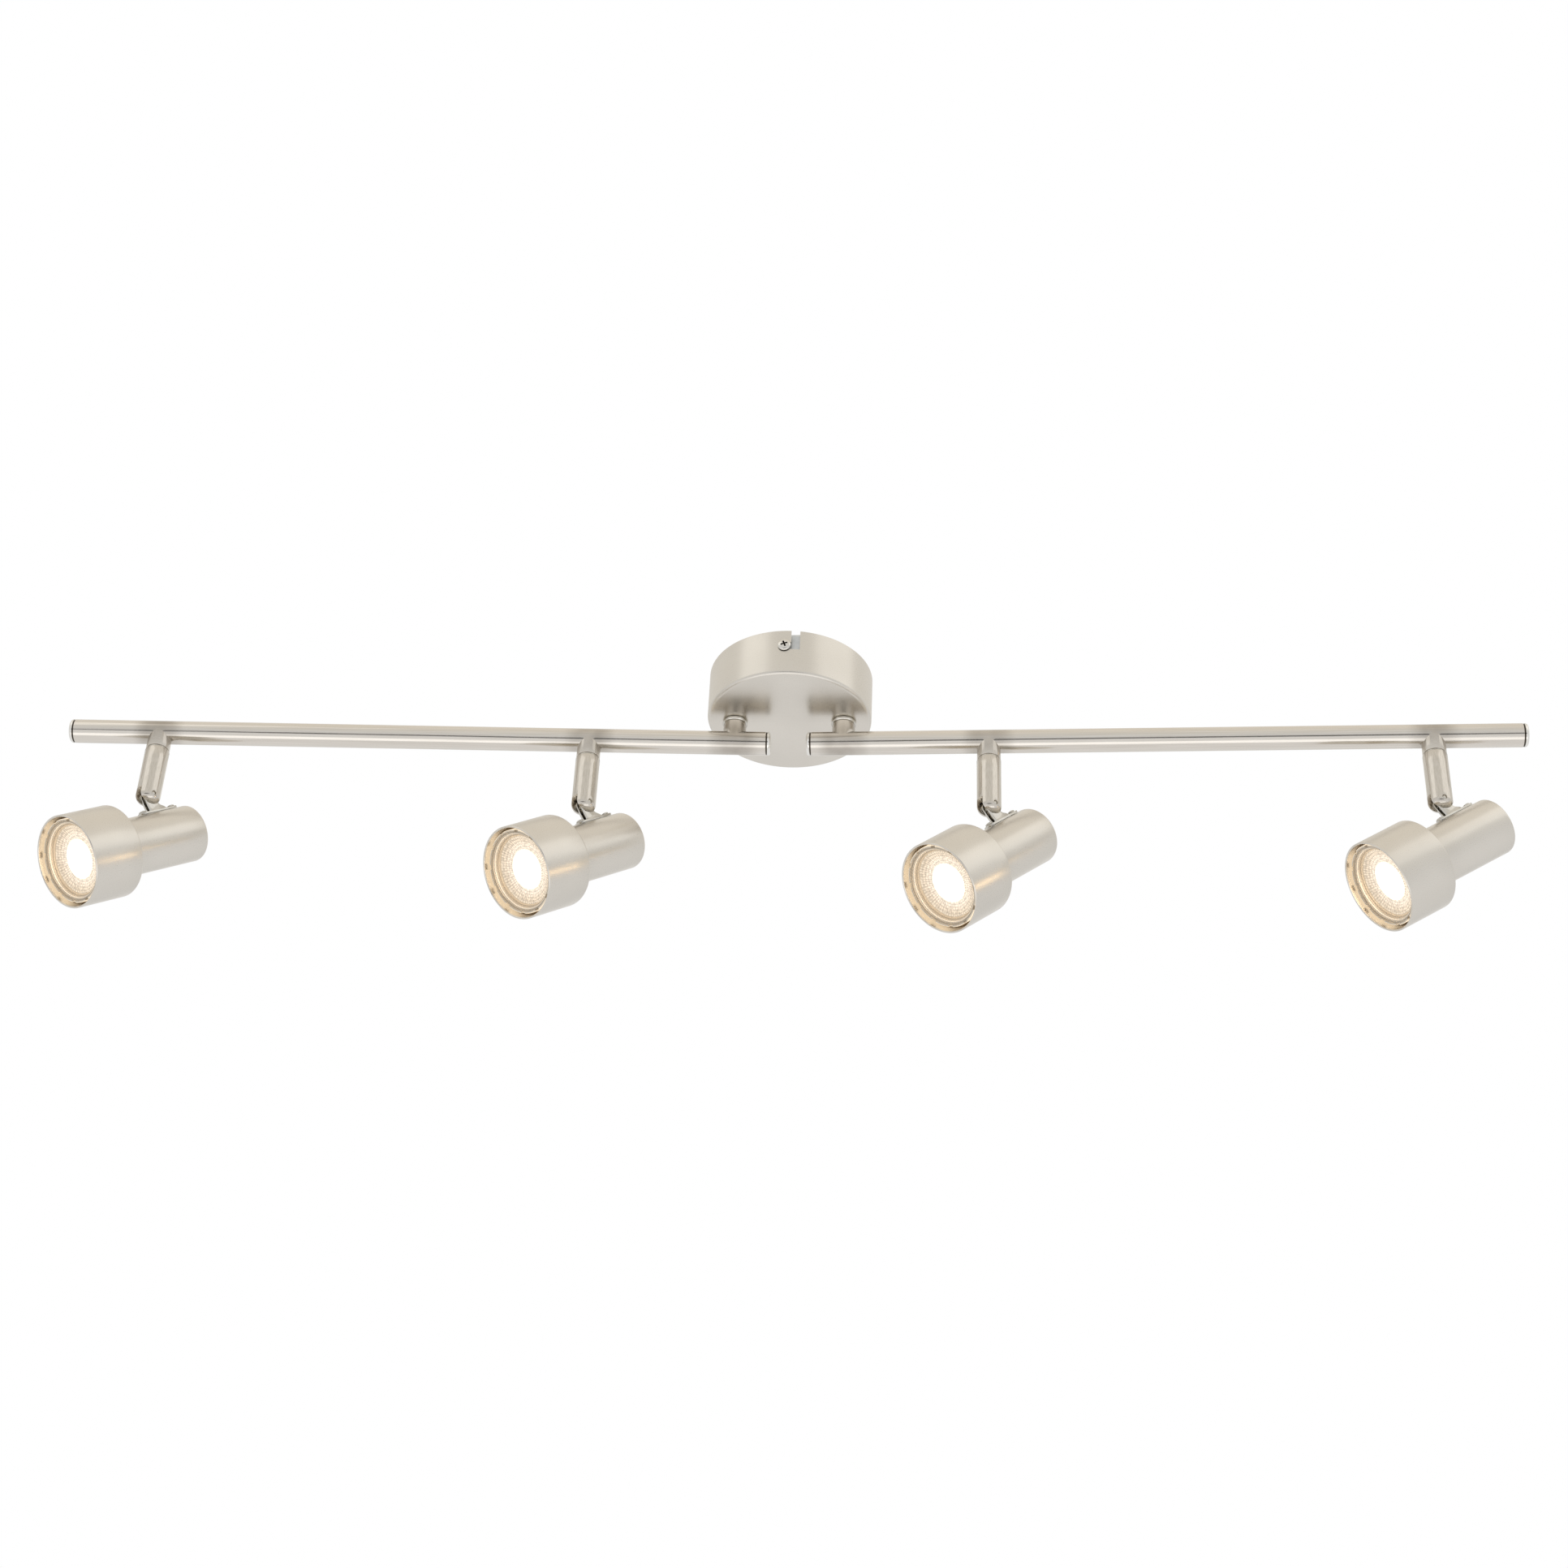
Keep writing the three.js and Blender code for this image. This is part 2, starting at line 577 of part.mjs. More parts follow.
function headGroup(spot) {
  const head = new THREE.Group();
  head.position.z = PIVOT_Z;
  head.rotation.y = THREE.MathUtils.degToRad(spot.tilt);
  head.add(part(`knuckle_bracket_${spot.name}`, knuckleBracket(), 'bright_nickel'));
  head.add(part(`bracket_screw_front_${spot.name}`, bracketScrew(SCREW_OFFSET), 'bright_nickel'));
  head.add(part(`bracket_screw_back_${spot.name}`, bracketScrew(-SCREW_OFFSET), 'bright_nickel'));
  head.add(part(`head_shell_${spot.name}`, headShell(), 'satin_nickel'));
  head.add(part(`lampholder_${spot.name}`, lampHolder(), 'steatite'));
  head.add(part(`lamp_body_${spot.name}`, lampBody(), 'lamp_plastic'));
  head.add(part(`lamp_lens_${spot.name}`, lampLens(), 'lamp_window'));
  return head;
}

const lamp = new THREE.Group();
lamp.add(roseGroup());
lamp.add(railGroup('left'));
lamp.add(railGroup('right'));

export default lamp;
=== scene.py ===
import json
import math

import bmesh
import bpy
from mathutils import Matrix, Vector


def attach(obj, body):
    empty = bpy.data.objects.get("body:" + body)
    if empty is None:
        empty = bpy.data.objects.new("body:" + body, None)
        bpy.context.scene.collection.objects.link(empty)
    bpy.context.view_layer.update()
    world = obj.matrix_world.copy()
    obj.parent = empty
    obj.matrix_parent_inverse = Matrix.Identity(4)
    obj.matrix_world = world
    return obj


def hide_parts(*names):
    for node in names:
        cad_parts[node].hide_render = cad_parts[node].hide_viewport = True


# ---- The hanging frame ----
# The lamp hangs from a ceiling: the rose's bracket lies against it, the rails run along X
# below the rose, and the heads hang from the rails. The origin is on the ceiling, with Z up.
# The pieces' sizes are in millimetres, and mm turns them to the frame's metres.

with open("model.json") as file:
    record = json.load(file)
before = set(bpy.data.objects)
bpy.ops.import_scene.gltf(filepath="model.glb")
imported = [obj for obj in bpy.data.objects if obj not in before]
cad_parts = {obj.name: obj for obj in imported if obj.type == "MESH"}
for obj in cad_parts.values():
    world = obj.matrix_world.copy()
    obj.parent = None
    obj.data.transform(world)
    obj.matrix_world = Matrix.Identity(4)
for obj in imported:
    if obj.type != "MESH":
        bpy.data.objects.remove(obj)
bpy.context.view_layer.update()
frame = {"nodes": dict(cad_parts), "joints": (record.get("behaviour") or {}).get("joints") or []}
bpy.ops.object.select_all(action="DESELECT")
mm = 0.001
joints = {joint["name"]: joint for joint in frame["joints"]}

# ---- Camera ----
# Below and in front of the lamp, about 1.7 m away, looking up at it, and rolled a little as a
# hand-held one is.

scene = bpy.context.scene
viewpoint, focal_length = (0.0959, -1.3305, -0.98964), 61.78
yaw, pitch, roll = math.radians(-4.192), math.radians(34.345), math.radians(2.601)
ahead = Vector((math.sin(yaw) * math.cos(pitch), math.cos(yaw) * math.cos(pitch), math.sin(pitch)))
level = Vector((math.cos(yaw), -math.sin(yaw), 0))
upward = level.cross(ahead)
across = math.cos(roll) * level + math.sin(roll) * upward
upward = across.cross(ahead)
camera = bpy.data.objects.new("camera", bpy.data.cameras.new("camera"))
scene.collection.objects.link(camera)
camera.data.sensor_width = 36
camera.data.lens = focal_length
camera.data.clip_start = 0.05
camera.matrix_world = Matrix.Translation(viewpoint) @ Matrix(
    (across, upward, -ahead)).transposed().to_4x4()
bpy.context.scene.camera = camera

# ---- Studio: pale tent, softboxes and a pale floor ----
# The lamp is shown in a plain white tent, a little greyer round the horizon. One softbox stands
# high on each side, one behind, and a long low one in front lights the tubes from below.


def linear(hex_colour):
    """An sRGB hex colour as linear light."""
    parts = [int(hex_colour[i:i + 2], 16) / 255 for i in (1, 3, 5)]
    light = [c / 12.92 if c <= 0.04045 else ((c + 0.055) / 1.055) ** 2.4 for c in parts]
    return (*light, 1.0)


def node(tree, kind, inputs=None, **settings):
    """Adds a shader node with its settings, values and links."""
    made = tree.nodes.new(kind)
    for key, value in settings.items():
        setattr(made, key, value)
    for key, value in (inputs or {}).items():
        if isinstance(value, bpy.types.NodeSocket):
            tree.links.new(value, made.inputs[key])
        else:
            made.inputs[key].default_value = value
    return made


def stops(ramp_node, points):
    """Sets a colour ramp's stops from (position, hex colour or grey) pairs."""
    ramp = ramp_node.color_ramp
    while len(ramp.elements) < len(points):
        ramp.elements.new(1.0)
    for element, (position, tone) in zip(ramp.elements, points):
        element.position = position
        element.color = linear(tone) if isinstance(tone, str) else (tone, tone, tone, 1)
    return ramp_node


scene.view_settings.view_transform = "Standard"
world = bpy.data.worlds.new("tent")
scene.world = world
world.use_nodes = True
sky = world.node_tree
sky.nodes.clear()
direction = node(sky, "ShaderNodeTexCoord").outputs["Generated"]
split = node(sky, "ShaderNodeSeparateXYZ", {0: direction})
lifted = node(sky, "ShaderNodeMapRange", {"Value": split.outputs["Z"], "From Min": -1.0})
tent = stops(node(sky, "ShaderNodeValToRGB", {"Fac": lifted.outputs["Result"]}), [
    (0.0, "#E6E5E5"), (0.3, "#E9E9EA"), (0.5, "#DCDCDC"), (0.75, "#DEDCD8"), (1.0, "#E6E0D6")])
# The tent's doorway, in front and just below the horizon, is darker.
stretched = node(sky, "ShaderNodeVectorMath", {0: direction, 1: (1.6, 1.0, 6.5)}, operation="MULTIPLY")
from_doorway = node(sky, "ShaderNodeVectorMath", {0: stretched.outputs[0], 1: (0.0, -0.96, -1.7)},
                    operation="DISTANCE")
shut = node(sky, "ShaderNodeMapRange", {
    "Value": from_doorway.outputs["Value"], "From Min": 0.3, "From Max": 0.95, "To Min": 0.12},
    interpolation_type="SMOOTHSTEP")
light = node(sky, "ShaderNodeVectorMath", {0: tent.outputs["Color"], "Scale": shut.outputs["Result"]},
             operation="SCALE").outputs[0]
ray = node(sky, "ShaderNodeLightPath")
surround = node(sky, "ShaderNodeBackground", {"Color": light, "Strength": 1.06})
paper = node(sky, "ShaderNodeBackground", {"Color": (1, 1, 1, 1), "Strength": 1.0})
either = node(sky, "ShaderNodeMixShader", {
    0: ray.outputs["Is Camera Ray"], 1: surround.outputs[0], 2: paper.outputs[0]})
node(sky, "ShaderNodeOutputWorld", {"Surface": either.outputs[0]})

for name, spot, width, height, watts in (
    ("softbox_left", (-1.25, -1.05, 1.15), 1.2, 1.0, 1.1),
    ("softbox_right", (1.50, -0.65, 1.05), 1.8, 1.1, 1.7),
    ("softbox_back", (0.2, 1.9, 0.7), 2.4, 1.0, 1.0),
    ("softbox_low", (0.0, -0.62, -1.25), 2.6, 0.55, 2.2),
):
    lamp = bpy.data.lights.new(name, "AREA")
    lamp.shape = "RECTANGLE"
    lamp.size, lamp.size_y, lamp.energy = width, height, watts
    softbox = bpy.data.objects.new(name, lamp)
    scene.collection.objects.link(softbox)
    softbox.location = spot
    softbox.rotation_euler = (Vector((0, 0, -0.08)) - Vector(spot)).to_track_quat("-Z", "Y").to_euler()
    softbox.visible_camera = False

floor_size, floor_z = 30, -1.5
bpy.ops.mesh.primitive_grid_add(x_subdivisions=12, y_subdivisions=12, size=floor_size,
                                location=(0, 0, floor_z))
floor = bpy.context.object
floor.name = "floor"
paint = bpy.data.materials.new("matt_floor_paint")
paint.use_nodes = True
shader = paint.node_tree.nodes["Principled BSDF"]
shader.inputs["Base Color"].default_value = linear("#F6F5F3")
shader.inputs["Roughness"].default_value = 0.9
floor.data.materials.append(paint)
floor.visible_glossy = False

# ---- Rose cover ----
# The cup over the ceiling box: spun from 1.2 mm sheet steel, satin nickel plated. It hangs on
# two side screws by the L-shaped notches in its rim, and the rail posts go through its floor.


def arc(centre_r, centre_z, radius, first, last, steps):
    """Points of a round corner in a turned profile, in mm, angles in degrees."""
    turns = [math.radians(first + (last - first) * i / steps) for i in range(steps + 1)]
    return [(centre_r + radius * math.cos(t), centre_z + radius * math.sin(t)) for t in turns]


def select_only(*pieces):
    bpy.ops.object.select_all(action="DESELECT")
    for piece in pieces:
        piece.select_set(True)
    bpy.context.view_layer.objects.active = pieces[0]


def smooth(piece, angle):
    """Shades the piece smooth where its faces meet at less than the angle."""
    select_only(piece)
    bpy.ops.object.shade_smooth_by_angle(angle=math.radians(angle))


def turned(name, profile, steps, ring=False):
    """Turns (radius, height) points in mm about Z: a disc or circle, extruded and resized."""
    bpy.ops.object.select_all(action="DESELECT")
    radius, z = profile[0]
    bpy.ops.mesh.primitive_circle_add(vertices=steps, radius=radius * mm, location=(0, 0, 0),
                                      fill_type="NOTHING" if ring else "NGON")
    piece = bpy.context.object
    piece.name = name
    bpy.ops.object.mode_set(mode="EDIT")
    bpy.ops.transform.translate(value=(0, 0, z * mm))
    loop = profile[1:] + ([profile[0]] if ring else [])
    for next_radius, next_z in loop:
        bpy.ops.mesh.extrude_region_move(TRANSFORM_OT_translate={"value": (0, 0, (next_z - z) * mm)})
        grow = next_radius / radius
        bpy.ops.transform.resize(value=(grow, grow, 1), center_override=(0, 0, next_z * mm))
        radius, z = next_radius, next_z
    bpy.ops.mesh.select_all(action="SELECT")
    bpy.ops.mesh.remove_doubles(threshold=1e-6)
    bpy.ops.mesh.normals_make_consistent(inside=False)
    bpy.ops.object.mode_set(mode="OBJECT")
    return piece


def apply_all(piece):
    select_only(piece)
    for modifier in list(piece.modifiers):
        bpy.ops.object.modifier_apply(modifier=modifier.name)


def cut(piece, tools, operation="DIFFERENCE"):
    """Cuts the tools out of the piece, or joins them to it."""
    for tool in tools:
        modifier = piece.modifiers.new("cut", "BOOLEAN")
        modifier.operation = operation
        modifier.solver = "EXACT"
        modifier.object = tool
        apply_all(piece)
        bpy.data.objects.remove(tool)
    return piece


def soften(piece, width, limit):
    """Breaks the edges sharper than the limit by a small bevel and shades the rest smooth."""
    bevel = piece.modifiers.new("edge", "BEVEL")
    bevel.width = width * mm
    bevel.segments = 2
    bevel.limit_method = "ANGLE"
    bevel.angle_limit = math.radians(limit)
    weighted = piece.modifiers.new("weighted", "WEIGHTED_NORMAL")
    weighted.keep_sharp = True
    apply_all(piece)
    smooth(piece, 35)
    return piece


def box_tool(size, centre, turn=0):
    """A block in mm, turned about Z through the origin after it is placed."""
    bpy.ops.object.select_all(action="DESELECT")
    bpy.ops.mesh.primitive_cube_add(size=1)
    tool = bpy.context.object
    tool.matrix_world = (Matrix.Rotation(math.radians(turn), 4, "Z")
                         @ Matrix.Translation(Vector(centre) * mm)
                         @ Matrix.Diagonal((*(s * mm for s in size), 1)))
    bpy.ops.object.transform_apply(location=True, rotation=True, scale=True)
    return tool


def moved(piece, matrix):
    piece.matrix_world = matrix
    select_only(piece)
    bpy.ops.object.transform_apply(location=True, rotation=True, scale=True)
    return piece


def place(piece, matrix, body, finish, cad_node):
    """Keeps each point's place on the bench as an attribute, then hangs the piece on its body."""
    bench = piece.data.attributes.new("bench", "FLOAT_VECTOR", "POINT")
    spots = [0.0] * (3 * len(piece.data.vertices))
    piece.data.vertices.foreach_get("co", spots)
    bench.data.foreach_set("vector", spots)
    moved(piece, matrix)
    piece.data.materials.clear()
    piece.data.materials.append(finish)
    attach(piece, body)
    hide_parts(cad_node)


def copy_of(piece, name):
    twin = piece.copy()
    twin.data = piece.data.copy()
    twin.name = name
    scene.collection.objects.link(twin)
    return twin


def empty_finish(name, metallic, on_cad_node=False):
    """A new material: its node tree, its shader, and where its patterns lie, in metres. A piece
    made here carries its bench coordinates, and a CAD node has only its own."""
    finish = bpy.data.materials.new(name)
    finish.use_nodes = True
    tree = finish.node_tree
    shader = tree.nodes["Principled BSDF"]
    shader.inputs["Metallic"].default_value = metallic
    if on_cad_node:
        return finish, tree, shader, node(tree, "ShaderNodeTexCoord").outputs["Object"]
    return finish, tree, shader, node(tree, "ShaderNodeAttribute", attribute_name="bench").outputs["Vector"]


# Satin nickel plate: the steel is blasted before plating, so it has a fine matt grain with
# slow clouds of tone.
satin_nickel, tree, shader, bench = empty_finish("satin_nickel_plate", 1.0)
clouds = node(tree, "ShaderNodeTexNoise", {"Vector": bench, "Scale": 1 / 0.035, "Detail": 3.0})
tone = stops(node(tree, "ShaderNodeValToRGB", {"Fac": clouds.outputs["Fac"]}),
             [(0.3, "#DDD8CF"), (0.7, "#E4DFD6")])
# The real grain is about 0.05 mm and is drawn at 0.4 mm so that it shows.
grain = node(tree, "ShaderNodeTexNoise", {"Vector": bench, "Scale": 1 / 0.0004, "Detail": 2.0})
flat_grain = node(tree, "ShaderNodeMapRange", {
    "Value": grain.outputs["Fac"], "To Min": 0.24, "To Max": 0.34})
bump = node(tree, "ShaderNodeBump", {
    "Height": grain.outputs["Fac"], "Strength": 0.06, "Distance": 0.0001})
tree.links.new(tone.outputs["Color"], shader.inputs["Base Color"])
tree.links.new(flat_grain.outputs["Result"], shader.inputs["Roughness"])
tree.links.new(bump.outputs["Normal"], shader.inputs["Normal"])

rose_radius, rose_height, rose_wall, rose_corner = 50, 32.4, 1.2, 2.4
inner_corner = rose_corner - rose_wall
inner_floor = -rose_height + rose_wall
rose = turned("rose_cover", [
    *arc(rose_radius - rose_corner, -rose_height + rose_corner, rose_corner, -90, 0, 8),
    (rose_radius, -20), (rose_radius, -0.7), (rose_radius - 0.3, -0.4), (rose_radius - rose_wall + 0.3, -0.4),
    (rose_radius - rose_wall, -0.7),
    *arc(rose_radius - rose_wall - inner_corner, inner_floor + inner_corner, inner_corner, 0, -90, 5),
], 192)
notch_width, notch_depth, notch_turn, screw_turn = 5.3, 14.3, 5.9, -1.8
leg_z = -notch_depth + notch_width / 2
post_x, post_bore = 33.15, 5.2
for half_turn in (0, 180):
    entry = box_tool((notch_width, 8, notch_depth + 2), (0, -rose_radius, -notch_depth / 2 + 1),
                     notch_turn + half_turn)
    middle = (notch_turn + screw_turn) / 2
    sweep = rose_radius * math.radians(notch_turn - screw_turn)
    leg = box_tool((sweep, 8, notch_width), (0, -rose_radius, leg_z), middle + half_turn)
    end = turned("end", [(notch_width / 2, -4), (notch_width / 2, 4)], 32)
    moved(end, Matrix.Rotation(math.radians(screw_turn + half_turn), 4, "Z")
          @ Matrix.Translation(Vector((0, -rose_radius, leg_z)) * mm)
          @ Matrix.Rotation(math.radians(90), 4, "X"))
    cut(rose, [entry, leg, end])
    hole = turned("hole", [(post_bore, -rose_height - 3), (post_bore, -rose_height + 5)], 48)
    cut(rose, [moved(hole, Matrix.Translation((post_x * mm * (1 if half_turn else -1), 0, 0)))])
smooth(rose, 28)
place(rose, Matrix.Identity(4), "rose", satin_nickel, "rose_cover")

# ---- Side screws ----
# Two M4 pan-head screws with a cross recess, steel, bright nickel plated. They go through the
# bracket's ears from outside, and the rose's notches hook over their shanks.

bright_nickel, tree, shader, bench = empty_finish("bright_nickel_plate", 1.0)
# Polished plate mirrors its surroundings. Handling leaves very light, uneven haze.
haze = node(tree, "ShaderNodeTexNoise", {"Vector": bench, "Scale": 1 / 0.004, "Detail": 4.0})
hazy = node(tree, "ShaderNodeMapRange", {"Value": haze.outputs["Fac"], "To Min": 0.08, "To Max": 0.2})
tint = stops(node(tree, "ShaderNodeValToRGB", {"Fac": haze.outputs["Fac"]}),
             [(0.35, "#C9C5BC"), (0.65, "#DAD7D0")])
tree.links.new(hazy.outputs["Result"], shader.inputs["Roughness"])
tree.links.new(tint.outputs["Color"], shader.inputs["Base Color"])


def pan_screw(name, head_radius, head_height, shank_radius, length, recess):
    """A pan-head screw on Z with its head above the origin and a cross recess in it."""
    screw = turned(name, [
        (shank_radius - 0.4, -length), (shank_radius, -length + 0.4), (shank_radius, 0),
        (head_radius - 0.15, 0), (head_radius, 0.15),
        (head_radius, head_height * 0.35),
        *[(head_radius * math.cos(math.radians(a)),
           head_height * (0.35 + 0.65 * math.sin(math.radians(a)))) for a in (12, 24, 36, 48, 60, 72, 82)],
    ], 48)
    for turn in (20, 110):
        wing = box_tool((recess * 2, recess * 0.5, head_height * 1.2), (0, 0, head_height), turn)
        cut(screw, [wing])
    return soften(screw, 0.12, 40)


side_screw_z, side_head, side_head_height, side_cross = -11.6, 4, 2.1, 2.1

# The same plate on the side screws, with painted shade dark in the cross recess and round the foot
# of the head, where the plate lies in shadow. Both are drawn a little broader than they are, so that they
# show.
screw_nickel, tree, shader, bench = empty_finish("bright_nickel_screw", 1.0)
split = node(tree, "ShaderNodeSeparateXYZ", {0: bench})
flat = node(tree, "ShaderNodeCombineXYZ", {"X": split.outputs["X"], "Y": split.outputs["Y"]})
from_axis = node(tree, "ShaderNodeVectorMath", {0: flat.outputs["Vector"]}, operation="LENGTH")
near_axis = node(tree, "ShaderNodeMath", {0: from_axis.outputs["Value"], 1: (side_cross + 0.1) * mm},
                 operation="LESS_THAN")
in_head = node(tree, "ShaderNodeMath", {0: split.outputs["Z"], 1: 0.0005}, operation="GREATER_THAN")
depth = node(tree, "ShaderNodeMapRange", {
    "Value": split.outputs["Z"], "From Min": (side_head_height - 0.6) * mm,
    "From Max": (side_head_height - 0.22) * mm, "To Min": 1.0, "To Max": 0.0})
in_cross = node(tree, "ShaderNodeMath", {0: near_axis.outputs["Value"], 1: in_head.outputs["Value"]},
                operation="MULTIPLY")
cross_shade = node(tree, "ShaderNodeMath", {0: in_cross.outputs["Value"], 1: depth.outputs["Result"]},
                  operation="MULTIPLY")
# Painted shade: a dark ring round the foot of the head, at its rim.
at_rim = node(tree, "ShaderNodeMath", {0: from_axis.outputs["Value"], 1: (side_head - 0.6) * mm},
              operation="GREATER_THAN")
foot = node(tree, "ShaderNodeMapRange", {
    "Value": split.outputs["Z"], "From Min": 0.0002, "From Max": 0.0007, "To Min": 1.0, "To Max": 0.0})
foot_shade = node(tree, "ShaderNodeMath", {0: at_rim.outputs["Value"], 1: foot.outputs["Result"]},
                 operation="MULTIPLY")
painted_shade = node(tree, "ShaderNodeMath", {0: cross_shade.outputs["Value"], 1: foot_shade.outputs["Value"]},
            operation="MAXIMUM")
# The plate darkens to near black where the painted shade is full.
shaded_plate = stops(node(tree, "ShaderNodeValToRGB", {"Fac": painted_shade.outputs["Value"]}),
              [(0.0, "#E4E1DA"), (1.0, "#2B2722")])
tree.links.new(shaded_plate.outputs["Color"], shader.inputs["Base Color"])
shader.inputs["Roughness"].default_value = 0.14

first_screw = pan_screw("side_screw_front", side_head, side_head_height, 1.9, 11, side_cross)
for name, half_turn in (("side_screw_back", 180), ("side_screw_front", 0)):
    screw = copy_of(first_screw, name) if half_turn else first_screw
    place(screw, Matrix.Rotation(math.radians(screw_turn + half_turn), 4, "Z")
          @ Matrix.Translation(Vector((0, -rose_radius - 0.15, side_screw_z)) * mm)
          @ Matrix.Rotation(math.radians(90), 4, "X"), "rose", screw_nickel, name)

# ---- Ceiling bracket, terminal block and their small parts ----
# Inside the rose: a zinc-plated strip of 1.8 mm steel with a nylon terminal block and a brass
# earth screw, and the brass nipples and nuts that hold the rails to the rose.

# Zinc plate has a frosted, bluish-grey spangle a few millimetres across.
zinc, tree, shader, in_place = empty_finish("zinc_plated_steel", 1.0, on_cad_node=True)
spangle = node(tree, "ShaderNodeTexVoronoi", {"Vector": in_place, "Scale": 1 / 0.003})
frost = node(tree, "ShaderNodeTexNoise", {"Vector": in_place, "Scale": 1 / 0.0006, "Detail": 3.0})
shade = stops(node(tree, "ShaderNodeValToRGB", {"Fac": spangle.outputs["Distance"]}),
              [(0.0, "#C9CDCF"), (1.0, "#DCDFE0")])
dull = node(tree, "ShaderNodeMapRange", {"Value": frost.outputs["Fac"], "To Min": 0.34, "To Max": 0.5})
tree.links.new(shade.outputs["Color"], shader.inputs["Base Color"])
tree.links.new(dull.outputs["Result"], shader.inputs["Roughness"])

# Nylon is milky, with a soft pebbled skin from the mould, drawn at 0.5 mm.
nylon, tree, shader, in_place = empty_finish("moulded_nylon", 0.0, on_cad_node=True)
shader.inputs["Roughness"].default_value = 0.5
shader.inputs["IOR"].default_value = 1.53
pebble = node(tree, "ShaderNodeTexNoise", {"Vector": in_place, "Scale": 1 / 0.0005, "Detail": 2.0})
milk = stops(node(tree, "ShaderNodeValToRGB", {"Fac": pebble.outputs["Fac"]}),
             [(0.3, "#E4E2DB"), (0.7, "#EEECE6")])
skin = node(tree, "ShaderNodeBump", {"Height": pebble.outputs["Fac"], "Strength": 0.1, "Distance": 0.0001})
tree.links.new(milk.outputs["Color"], shader.inputs["Base Color"])
tree.links.new(skin.outputs["Normal"], shader.inputs["Normal"])

# Turned brass shows fine tool rings about its axis, drawn 0.6 mm apart, and slight tarnish.
brass, tree, shader, in_place = empty_finish("turned_brass", 1.0, on_cad_node=True)
rings = node(tree, "ShaderNodeTexWave", {"Vector": in_place, "Scale": 1 / 0.0018, "Distortion": 0.4},
             bands_direction="Z")
tarnish = node(tree, "ShaderNodeTexNoise", {"Vector": in_place, "Scale": 1 / 0.004, "Detail": 3.0})
gold = stops(node(tree, "ShaderNodeValToRGB", {"Fac": tarnish.outputs["Fac"]}),
             [(0.3, "#B8954A"), (0.7, "#D8BA6C")])
worn = node(tree, "ShaderNodeMapRange", {"Value": rings.outputs["Fac"], "To Min": 0.28, "To Max": 0.4})
tree.links.new(gold.outputs["Color"], shader.inputs["Base Color"])
tree.links.new(worn.outputs["Result"], shader.inputs["Roughness"])

for name, finish in (
    ("ceiling_bracket", zinc), ("terminal_block", nylon), ("earth_screw", brass),
    ("friction_washer_left", nylon), ("friction_washer_right", nylon),
    ("post_nipple_left", brass), ("post_nipple_right", brass),
    ("post_nut_left", brass), ("post_nut_right", brass),
):
    part = frame["nodes"][name]
    part.data.materials.clear()
    part.data.materials.append(finish)

# ---- Post washers ----
# Bright turned rings under the rose, one round each post, bevelled at both edges. They close
# the post holes and the rail's boss turns against them.

washer_radius, washer_height = 7.55, 2.3
washer_top = -rose_height - 0.15
washer_bottom = washer_top - washer_height
ring = turned("post_washer_left", [
    (post_bore, washer_bottom), (washer_radius - 0.6, washer_bottom),
    (washer_radius - 0.35, washer_bottom + 0.12), (washer_radius, washer_bottom + 0.6),
    (washer_radius, washer_top - 0.6), (washer_radius - 0.35, washer_top - 0.12),
    (washer_radius - 0.6, washer_top), (post_bore, washer_top),
], 96, ring=True)
smooth(ring, 30)
for side, x in (("right", post_x), ("left", -post_x)):
    washer = copy_of(ring, "post_washer_right") if side == "right" else ring
    place(washer, Matrix.Translation((x * mm, 0, 0)), "rose", bright_nickel,
          f"post_washer_{side}")

# ---- Rails ----
# Two 14.4 mm steel tubes, brushed along their length and nickel plated. Each turns on a boss
# under the rose. A boss for each stem is soldered below, with a spigot that the stem turns on.

rail_radius, rail_wall, rail_z, rail_outer, rail_inner = 7.2, 1.1, -48.1, 404.2, -19.5
boss_radius, boss_bottom, post_boss_radius = 7.1, -61.4, 6.9
stations = (88, 351.4)

# Brushed nickel: lines along the tube about 0.1 mm apart, drawn at 0.35 mm, and a darker heat
# stain round each soldered boss.
brushed_nickel, tree, shader, bench = empty_finish("brushed_nickel_plate", 1.0)
drawn_out = node(tree, "ShaderNodeMapping", {
    "Vector": bench, "Scale": (1 / 0.045, 1 / 0.00035, 1 / 0.00035)})
lines = node(tree, "ShaderNodeTexNoise", {"Vector": drawn_out.outputs["Vector"], "Scale": 1.0, "Detail": 3.0})
clouds = node(tree, "ShaderNodeTexNoise", {"Vector": bench, "Scale": 1 / 0.02, "Detail": 2.0})
stains = []
for x in (0, *stations):
    from_boss = node(tree, "ShaderNodeVectorMath", {0: bench, 1: (x * mm, 0, rail_z * mm)},
                     operation="DISTANCE")
    stains.append(node(tree, "ShaderNodeMapRange", {
        "Value": from_boss.outputs["Value"], "From Min": 0.0085, "From Max": 0.019,
        "To Min": 1.0, "To Max": 0.0}, interpolation_type="SMOOTHSTEP"))
stain = node(tree, "ShaderNodeMath", {0: stains[0].outputs["Result"], 1: stains[1].outputs["Result"]},
             operation="ADD")
stain = node(tree, "ShaderNodeMath", {0: stain.outputs[0], 1: stains[2].outputs["Result"]}, operation="ADD")
patchy = node(tree, "ShaderNodeMath", {0: stain.outputs[0], 1: clouds.outputs["Fac"]}, operation="MULTIPLY")
plate = stops(node(tree, "ShaderNodeValToRGB", {"Fac": lines.outputs["Fac"]}),
              [(0.3, "#DAD4CB"), (0.7, "#E8E3DB")])
heated = node(tree, "ShaderNodeMix", {
    "Factor": patchy.outputs[0], "A": plate.outputs["Color"], "B": linear("#8E867A")}, data_type="RGBA")
gloss = node(tree, "ShaderNodeMapRange", {"Value": lines.outputs["Fac"], "To Min": 0.11, "To Max": 0.2})
